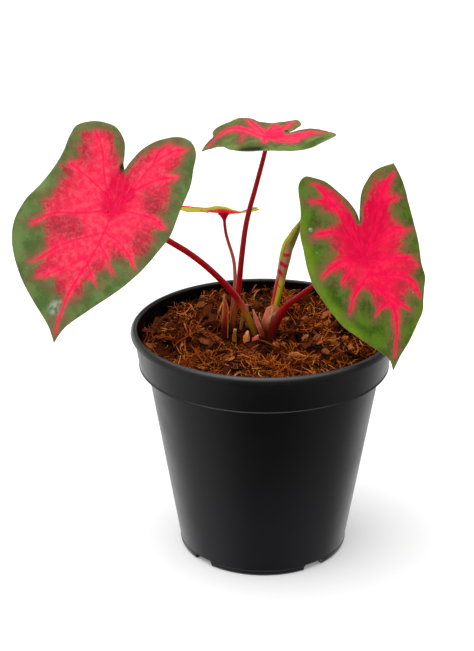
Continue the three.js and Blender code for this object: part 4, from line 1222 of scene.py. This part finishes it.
def vein_tissue(colours):
    """Hot pink where the blade is pink, and the green of the blade outside it."""
    def build(tree, place, surface):
        worn = speckle_noise(tree, place, 500, 3)
        inside = shaken(tree, on_mesh(tree, "blush"), worn, 3.0)
        pink = blended(tree, ramp(tree, worn, 0.4, 0.65), paint(248, 40, 92), paint(238, 8, 72))
        colour = blended(tree, ramp(tree, inside, -2.0, 0.8), colours[0], pink)
        finished(tree, surface, colour, 0.45, 0.1)
    return build


# The first nine ribs of a blade start a little thicker than the others.
main_ribs = 9
main_rib_radius = 0.38
side_rib_radius = 0.3
rib_end_radius = 0.14
rib_sunk = 0.26
rib_sides = 8


def vein_mesh(leaf):
    """Ribs that run through the blade and stand out of both its faces, more below than above."""
    along, across, facing = blade_frame(leaf)
    origin = Vector(leaf["stalk_end"])
    pink_edge = np.array(leaf["pink_edge"], float)
    outline = np.array(leaf["minus_side"] + leaf["plus_side"][-2:0:-1], float)
    bm = bmesh.new()
    bm.verts.layers.float.new("blush")
    for k, vein in enumerate(leaf["veins"]):
        line = flat_curve(vein, 5 * len(vein))
        heights = bent_height(leaf, line[:, 0], line[:, 1]) - rib_sunk
        spots = [(origin + along * float(a) + across * float(c) + facing * float(h)) * mm
                 for (a, c), h in zip(line, heights)]
        blush = pink_depth(line, pink_edge, to_ring(line, outline))
        start_radius = main_rib_radius if k < main_ribs else side_rib_radius
        rib = swept(bm, ring(rib_sides), spots, steps=4 * len(vein), radius_at=lambda share:
                    (start_radius - (start_radius - rib_end_radius) * share) * mm)
        share_of = bm.verts.layers.float["share"]
        blush_of = bm.verts.layers.float["blush"]
        for v in rib:
            v[blush_of] = float(np.interp(v[share_of], np.linspace(0, 1, len(blush)), blush))
    outward(bm)
    return bm


for seed, (name, leaf) in enumerate(LEAVES.items()):
    colours = LEAF_COLOURS[name]
    skin = coated(f"{name}_blade_above", leaf_skin(colours))
    below = coated(f"{name}_blade_below", leaf_skin(colours, UNDER_COLOURS[name], name == "back"))
    blade = to_object(f"{name}_leaf_blade", blade_mesh(leaf, seed), skin, below)
    blade.data.shade_smooth()
    body = blade.modifiers.new("body", "SOLIDIFY")
    body.thickness = blade_thickness * mm
    body.offset = 0
    body.use_even_offset = True
    body.material_offset = 1
    body.material_offset_rim = 1
    settled(blade, "leaf_blade", f"leaf_{name}_blade")
    tissue = coated(f"{name}_veins", vein_tissue(colours))
    add_piece(f"{name}_leaf_veins", vein_mesh(leaf), tissue, "leaf_blade")


# ---------------------------------------------------------------------------------------------
# The leaf stalks. Round, smooth and crimson, olive and orange at the foot where they come out of
# the mix, and widened at the top where they run into the blade.

FOOT = 100.6
stalk_sides = 16
stalk_steps = 110
short_of_blade = 0.3
# Radii at equal steps, how much wider the top end is and over what length, and the route.
STALKS = {
    "left": ([1.6, 1.4], 1.5, 4, [
        (-4.4, 3.6, FOOT), (-4.6, 3.4, 110), (-9.5, 2, 122.4), (-15.7, -1, 133.8), (-26.3, -6, 147.1),
        (-35.8, -12, 157.4), (-45.3, -18, 165.9), (-56.8, -25, 176.4), (-68.7, -33.5, 184.1)]),
    "right": ([2.3, 2.3, 2.2, 1.75, 1.3, 1.25, 1.2, 1.2, 1.2, 1.2, 1.15], 1.5, 4, [
        (3.6, 1, FOOT), (3.6, 0.9, 109), (5.4, 0.6, 116.2), (9.6, 0, 124.4), (14.4, -3, 130.2),
        (23.2, -9, 139.6), (35.2, -17, 150.8), (43.6, -26, 158.4)]),
    "top": ([1.65, 1.05], 1.4, 4, [
        (-15.4, 4.8, FOOT), (-15.8, 4.6, 109), (-14.4, 5, 120.9), (-12.9, 6, 128.1), (-11.1, 6, 147.3),
        (-9.3, 6, 162.7), (-7.2, 6, 173.2), (-4.7, 6, 182.7), (-0.2, 5.4, 201)]),
    "back": ([1.05, 0.78], 4.2, 4.5, [
        (-14.2, 9.6, FOOT), (-15.9, 10, 110), (-15.3, 13, 121.2), (-14.2, 18, 130.2), (-14.8, 27, 139.1),
        (-17.9, 36, 147.1), (-19.1, 38.5, 152)]),
}


def in_list(values, share):
    """A value from a short list of values at equal steps."""
    at = share * (len(values) - 1)
    k = min(int(at), len(values) - 2)
    return values[k] + (values[k + 1] - values[k]) * (at - k)


def lengthwise(tree, round_about, along):
    """A place for noise on a stem or scale, stretched by its own amount round it and along it."""
    return node(tree, "ShaderNodeCombineXYZ", {"X": times(tree, on_mesh(tree, "around"), round_about),
                "Y": times(tree, on_mesh(tree, "share"), along), "Z": 0.0}).outputs[0]


def stalk_skin(crimson, dark, bands):
    """Crimson with darker streaks. Bands are (height, softness, colour) from the top down: below
    the height the stalk takes that colour."""
    def build(tree, place, surface):
        height = node(tree, "ShaderNodeSeparateXYZ", {"Vector": place}).outputs["Z"]
        streaks = speckle_noise(tree, lengthwise(tree, 2.2, 9.0), 2.0, 4)
        blotch = speckle_noise(tree, place, 240, 3)
        low = shaken(tree, height, streaks, 0.012)
        colour = layered(tree, crimson, (ramp(tree, streaks, 0.35, 0.65), dark),
                         (ramp(tree, blotch, 0.55, 0.75, 0, 0.3), paint(204, 40, 50)),
                         *[(ramp(tree, low, level, level - soft), paint(*band))
                           for level, soft, band in bands])
        finished(tree, surface, colour, 0.3, 0.15, dented(tree, streaks, 0.12 * mm, 0.5))
    return build


stalk_finishes = {
    "left": stalk_skin(paint(176, 4, 18), paint(130, 0, 8), [
        (0.131, 0.006, (170, 66, 30)), (0.126, 0.006, (164, 116, 30)), (0.117, 0.006, (140, 96, 26))]),
    "right": stalk_skin(paint(174, 2, 12), paint(128, 0, 8), [
        (0.124, 0.008, (108, 14, 8)), (0.117, 0.006, (92, 22, 10))]),
    "top": stalk_skin(paint(172, 2, 12), paint(124, 0, 8), [
        (0.136, 0.008, (160, 24, 14)), (0.128, 0.007, (150, 70, 22)), (0.118, 0.006, (84, 36, 14))]),
    "back": stalk_skin(paint(204, 12, 44), paint(180, 4, 30), [
        (0.1565, 0.003, (164, 32, 36)), (0.147, 0.008, (156, 58, 34)), (0.134, 0.008, (146, 72, 26)),
        (0.122, 0.006, (164, 98, 30))]),
}
for name, (radii, flare, flare_length, route) in STALKS.items():
    _, _, facing = blade_frame(LEAVES[name])
    end = Vector(LEAVES[name]["stalk_end"]) - facing * short_of_blade
    spots = metres([*route, end])
    length = sum((there - here).length for here, there in zip(spots, spots[1:])) / mm

    def thickness(share):
        near_top = max(0, 1 - (1 - share) * length / flare_length)
        return in_list(radii, share) * (1 + (flare - 1) * near_top ** 2) * mm

    stalk_bm = bmesh.new()
    swept(stalk_bm, ring(stalk_sides), spots, stalk_steps, thickness)
    outward(stalk_bm)
    skin = coated(f"{name}_stalk", stalk_finishes[name])
    add_piece(f"{name}_leaf_stalk", stalk_bm, skin, "leaf_stalk", f"leaf_{name}_stalk")


# ---------------------------------------------------------------------------------------------
# The rolled leaf. The newest leaf, still rolled lengthwise round itself: olive and yellow-green,
# with the magenta of its veins showing through as bands across the roll.

rolled_route = [(2, 7.4, FOOT), (2.2, 7.2, 112), (3.9, 7.1, 119), (5.6, 7, 124.5), (7.7, 7, 134.8),
                (9.9, 7.3, 146.4), (11.4, 7.5, 153.3), (14.7, 8, 160.3), (17.9, 8.5, 167.7)]
rolled_radii = [1.6, 1.6, 1.7, 1.85, 2, 2.2, 2.4, 2.75, 2.72, 1.95, 0.12]
roll_sides = 44
roll_steps = 80
roll_start = 0.9
roll_gain = 0.24
roll_turn = math.radians(235)


def rolled_skin(tree, place, surface):
    """The sideways share runs from -1 on the left edge, seen from the front, to 1 on the right."""
    height = node(tree, "ShaderNodeSeparateXYZ", {"Vector": place}).outputs["Z"]
    side = on_mesh(tree, "sideways")
    cloudy = speckle_noise(tree, place, 260, 4)
    fine = speckle_noise(tree, place, 1500, 3)
    rough = shaken(tree, side, cloudy, 0.5)
    upper = blended(tree, ramp(tree, rough, -0.35, 0.15), paint(140, 124, 60), paint(92, 94, 22))
    middle = blended(tree, ramp(tree, rough, -0.1, 0.5), paint(186, 128, 100), paint(138, 116, 50))
    lower = blended(tree, ramp(tree, rough, 0.0, 0.7), paint(196, 194, 20), paint(150, 134, 14))
    colour = blended(tree, ramp(tree, height, 0.151, 0.1575), middle, upper)
    colour = blended(tree, ramp(tree, height, 0.1395, 0.135), colour, lower)
    colour = blended(tree, ramp(tree, fine, 0.5, 0.75, 0, 0.3), colour, paint(166, 140, 60))
    # The yellow-green flap of the outermost turn, down the left edge from the tip.
    flap = times(tree, ramp(tree, side, -0.35, -0.6), ramp(tree, height, 0.1435, 0.149))
    colour = blended(tree, flap, colour, paint(168, 168, 14))
    # A crimson strip down the lower left side, orange at its foot.
    strip = times(tree, ramp(tree, side, -0.3, -0.6), ramp(tree, height, 0.1405, 0.136))
    red = blended(tree, ramp(tree, height, 0.129, 0.1235), paint(196, 30, 40), paint(206, 92, 30))
    colour = blended(tree, strip, colour, red)
    # The magenta bands: how high, how much they lean, half their width, and where they end.
    for centre, lean, half, left_end, right_end in (
            (0.1502, -0.0002, 0.0010, -0.55, 1.3), (0.1450, -0.0014, 0.0012, -0.9, 0.7),
            (0.1402, -0.0020, 0.0012, -1.2, 0.1), (0.1338, -0.0024, 0.0004, -0.8, 0.2)):
        tilted = sums(tree, "MULTIPLY_ADD", side, -lean, height)
        away = sums(tree, "ABSOLUTE", sums(tree, "SUBTRACT", tilted, centre))
        band = times(tree, ramp(tree, away, half * 1.2, half * 0.6),
                     ramp(tree, side, left_end - 0.1, left_end + 0.1),
                     ramp(tree, side, right_end + 0.2, right_end - 0.2))
        colour = blended(tree, band, colour, paint(196, 0, 56))
    finished(tree, surface, colour, 0.4, 0.3, dented(tree, fine, 0.05 * mm, 0.6))


rolled_bm = bmesh.new()
rolled_bm.verts.layers.float.new("sideways")
roll = ring(roll_sides, lambda angle: roll_start + roll_gain * angle / (2 * math.pi))
rolled_spots = metres(rolled_route)
rolled_points = swept(rolled_bm, roll, rolled_spots, roll_steps,
                      lambda share: in_list(rolled_radii, share) * mm, roll_turn)
rolled_middle = route_points(rolled_spots, roll_steps)
sideways = rolled_bm.verts.layers.float["sideways"]
share_of = rolled_bm.verts.layers.float["share"]
for v in rolled_points:
    k = round(v[share_of] * roll_steps)
    forward = (rolled_middle[min(k + 1, roll_steps)] - rolled_middle[max(k - 1, 0)]).normalized()
    level = Vector((forward.z, 0, -forward.x)).normalized()
    offset = v.co - rolled_middle[k]
    v[sideways] = offset.dot(level) / max(in_list(rolled_radii, v[share_of]) * mm, 1e-6)
outward(rolled_bm)
rolled_finish = coated("rolled_leaf_skin", rolled_skin)
add_piece("rolled_leaf", rolled_bm, rolled_finish, "young_leaf", "leaf_rolled", sharp=50)


# ---------------------------------------------------------------------------------------------
# The sheaths. Papery scales at the foot of the stalks that once wrapped a leaf: hollow on one
# side, pink and tan, brown and dry at the point.

# Radius, which way the hollow faces, in degrees, and the route.
SHEATHS = {
    "sheath_wide": (3.6, 90, [(2, 7.4, FOOT), (2.2, 7.2, 112), (3.9, 7.1, 119), (5.4, 7, 125)]),
    "sheath_narrow": (1.4, 150, [
        (-0.6, 1.2, FOOT), (-0.9, 0.6, 109.6), (-3.6, 0.5, 117), (-6.6, 0, 123.9)]),
    "sheath_left": (2.4, 20, [
        (-18.4, 2.4, FOOT), (-18.6, 2, 109), (-18.4, 2.4, 118), (-17.9, 2.8, 125.1), (-17.4, 3, 130.9)]),
    "sheath_centre": (1.5, 180, [
        (-11.6, 6.4, FOOT), (-11.8, 6.2, 109), (-11.4, 6.6, 116), (-10.2, 7.4, 122)]),
}
sheath_steps = 48
wraps_round = 1.7
sheath_wall = 0.2
sheath_edge = 0.02


def crescent(steps=16):
    """The section of a scale: a curved wall that thins out at both its edges."""
    outer, inner = [], []
    for k in range(steps + 1):
        angle = math.pi - wraps_round + 2 * wraps_round * k / steps
        wall_share = 1 - sheath_wall * math.sin(math.pi * k / steps) ** 0.5 - sheath_edge
        outer.append((math.cos(angle), math.sin(angle)))
        inner.insert(0, (wall_share * math.cos(angle), wall_share * math.sin(angle)))
    return outer + inner


def sheath_skin(body, foot, tip, rim, turned_from=-0.5, turned_to=0.7, ridge=None):
    """The tip colour also covers the side that is turned away, from one angle round to the other.
    A ridge, if there is one, is a pale fold at its own angle, tan of its own and brightened by a
    painted highlight, with a brown hollow of painted shade beside it."""
    def build(tree, place, surface):
        share = on_mesh(tree, "share")
        around = on_mesh(tree, "around")
        fibres = speckle_noise(tree, lengthwise(tree, 5.0, 3.0), 3.0, 4)
        cloudy = speckle_noise(tree, place, 320, 4)
        pale = times(tree, ramp(tree, fibres, 0.45, 0.7, 0, 0.5), ramp(tree, share, 0.5, 0.75))
        stain = times(tree, ramp(tree, cloudy, 0.52, 0.68, 0, 0.6), ramp(tree, share, 0.75, 0.5, 0.3, 1))
        side = sums(tree, "ABSOLUTE", around)
        colour = layered(tree, tip, (ramp(tree, around, turned_from, turned_to), body),
                         (ramp(tree, share, 0.72, 0.4), foot),
                         (ramp(tree, share, 0.84, 1.0), tip),
                         (pale, rim), (stain, foot), (ramp(tree, side, 1.35, 1.65), rim))
        both = sums(tree, "ADD", fibres, cloudy)
        if ridge:
            beside = shaken(tree, around, cloudy, 0.8)
            # The brown hollow beside the fold is painted shade.
            hollow_shade = times(tree, ramp(tree, beside, ridge - 0.1, ridge - 0.4),
                           ramp(tree, share, 0.78, 0.7), ramp(tree, share, 0.3, 0.5))
            colour = blended(tree, hollow_shade, colour, paint(168, 98, 36))
            # The pale fold is partly its own tan and partly a painted highlight.
            away = sums(tree, "ABSOLUTE", sums(tree, "SUBTRACT", beside, ridge))
            fold = times(tree, ramp(tree, away, 0.32, 0.12),
                         ramp(tree, share, 0.52, 0.72), ramp(tree, share, 0.98, 0.85))
            # The fold's painted highlight turns off to one side in a pale crest near its top.
            from_crest = sums(tree, "ABSOLUTE", sums(tree, "SUBTRACT", share, 0.79))
            crest_highlight = times(tree, ramp(tree, beside, ridge, ridge - 0.3), ramp(tree, from_crest, 0.05, 0.02))
            fold = sums(tree, "MAXIMUM", fold, crest_highlight)
            colour = blended(tree, times(tree, fold, 0.8), colour, rim)
            both = sums(tree, "MULTIPLY_ADD", fold, 1.5, both)
        finished(tree, surface, colour, 0.3, 0.28, dented(tree, both, 0.5 * mm, 0.9))
    return build


sheath_finishes = {
    "sheath_wide": sheath_skin(paint(250, 132, 104), paint(118, 34, 10), paint(238, 156, 92),
                               paint(255, 192, 140), ridge=0.25),
    "sheath_narrow": sheath_skin(paint(250, 122, 94), paint(160, 52, 32), paint(252, 172, 132),
                                 paint(232, 156, 140)),
    "sheath_left": sheath_skin(paint(172, 26, 8), paint(78, 14, 8), paint(206, 116, 54),
                               paint(214, 134, 70), turned_from=-0.2, turned_to=-0.8),
    "sheath_centre": sheath_skin(paint(190, 116, 38), paint(120, 54, 18), paint(214, 150, 66),
                                 paint(202, 138, 50)),
}
for name, (radius, turn, route) in SHEATHS.items():
    sheath_bm = bmesh.new()
    swept(sheath_bm, crescent(), metres(route), sheath_steps, lambda share: radius * mm,
          turn=math.radians(turn), narrow_at=lambda share: 1.01 - 0.9 * share ** 7)
    outward(sheath_bm)
    skin = coated(name + "_skin", sheath_finishes[name])
    add_piece(name + "_scale", sheath_bm, skin, "sheath", name, sharp=50)


# ---------------------------------------------------------------------------------------------
# Buds and stubs. Two plump buds that push up beside the stalks, and two withered stubs of leaves
# that were cut away.

# What they are, their routes, and their radii at equal steps.
SPROUTS = {
    "bud_left": ("bud", [(-9.4, -3.2, FOOT), (-8.5, -1.7, 110), (-8, -1, 113.2)],
                 [1.3, 1.4, 1.8, 1.7, 0.5]),
    "bud_right": ("bud", [(-6.4, -1.4, FOOT), (-4.2, -3.8, 109.4), (-3, -5, 112.6)],
                  [1.3, 1.4, 1.9, 1.8, 0.5]),
    "stub_front": ("old_stalk", [(-14.4, -2.6, FOOT), (-14.5, -3.6, 110), (-14.2, -4.4, 115.4)],
                   [1.1, 1.2, 1.2, 1.0, 0.7]),
    "stub_back": ("old_stalk", [(-7.6, 9.6, FOOT), (-8, 11, 112), (-8.4, 12, 122)],
                  [1.1, 1.1, 1.1, 1.0, 0.7]),
}
sprout_sides = 20
sprout_steps = 30
sprout_lumps = 0.25
lump_scale = 700


def sprout_skin(body, shade, tip):
    def build(tree, place, surface):
        cloudy = speckle_noise(tree, place, 420, 4)
        colour = layered(tree, body, (ramp(tree, cloudy, 0.4, 0.65), shade),
                         (ramp(tree, on_mesh(tree, "share"), 0.82, 1.0), tip))
        finished(tree, surface, colour, roughness=0.45, relief=dented(tree, cloudy, 0.3 * mm, 0.7))
    return build


sprout_finishes = {
    "bud_left": sprout_skin(paint(244, 134, 56), paint(212, 128, 40), paint(244, 172, 116)),
    "bud_right": sprout_skin(paint(230, 96, 60), paint(200, 70, 40), paint(236, 126, 88)),
    "stub_front": sprout_skin(paint(178, 120, 40), paint(120, 70, 22), paint(196, 140, 70)),
    "stub_back": sprout_skin(paint(170, 102, 36), paint(110, 58, 20), paint(190, 130, 66)),
}
for name, (slot, route, radii) in SPROUTS.items():
    sprout_bm = bmesh.new()
    swept(sprout_bm, ring(sprout_sides), metres(route), sprout_steps,
          lambda share: in_list(radii, share) * mm)
    for v in sprout_bm.verts:
        lumpy = v.co * lump_scale
        push = Vector((noise.noise(lumpy), noise.noise(lumpy + Vector((9, 0, 0))), 0))
        v.co += push * sprout_lumps * mm
    outward(sprout_bm)
    skin = coated(name + "_skin", sprout_finishes[name])
    add_piece(name + "_shoot", sprout_bm, skin, slot, name)


# ---------------------------------------------------------------------------------------------
# The water. Three drops stand on the waxy skin of the right leaf after a watering, one large and
# two small. Each is a bead of clear water, a little flattened by its own weight.

def water(tree, place, surface):
    surface.inputs["Base Color"].default_value = (0.3, 0.44, 0.24, 1)
    surface.inputs["Roughness"].default_value = 0.05
    surface.inputs["IOR"].default_value = 1.33
    surface.inputs["Transmission Weight"].default_value = 0.5


# Place on the blade, along and across, and radius.
DROPS = [(-17.9, -23.3, 1.15), (-7.2, -22.8, 0.4), (20.2, 19.1, 0.42)]
drop_flatness = 0.62
on_the_skin = 0.3
leaf = LEAVES["right"]
along, across, facing = blade_frame(leaf)
drop_bm = bmesh.new()
for a, c, radius in DROPS:
    spot = (Vector(leaf["stalk_end"]) + along * a + across * c
            + facing * (float(bent_height(leaf, a, c)) + on_the_skin))
    size = Matrix.Diagonal((radius * mm, radius * mm, drop_flatness * radius * mm, 1))
    bmesh.ops.create_uvsphere(drop_bm, u_segments=24, v_segments=14, radius=1,
                              matrix=Matrix.Translation(spot * mm) @ lying_on(facing) @ size)
add_piece("water_drops", drop_bm, coated("water", water), "leaf_blade", sharp=180)
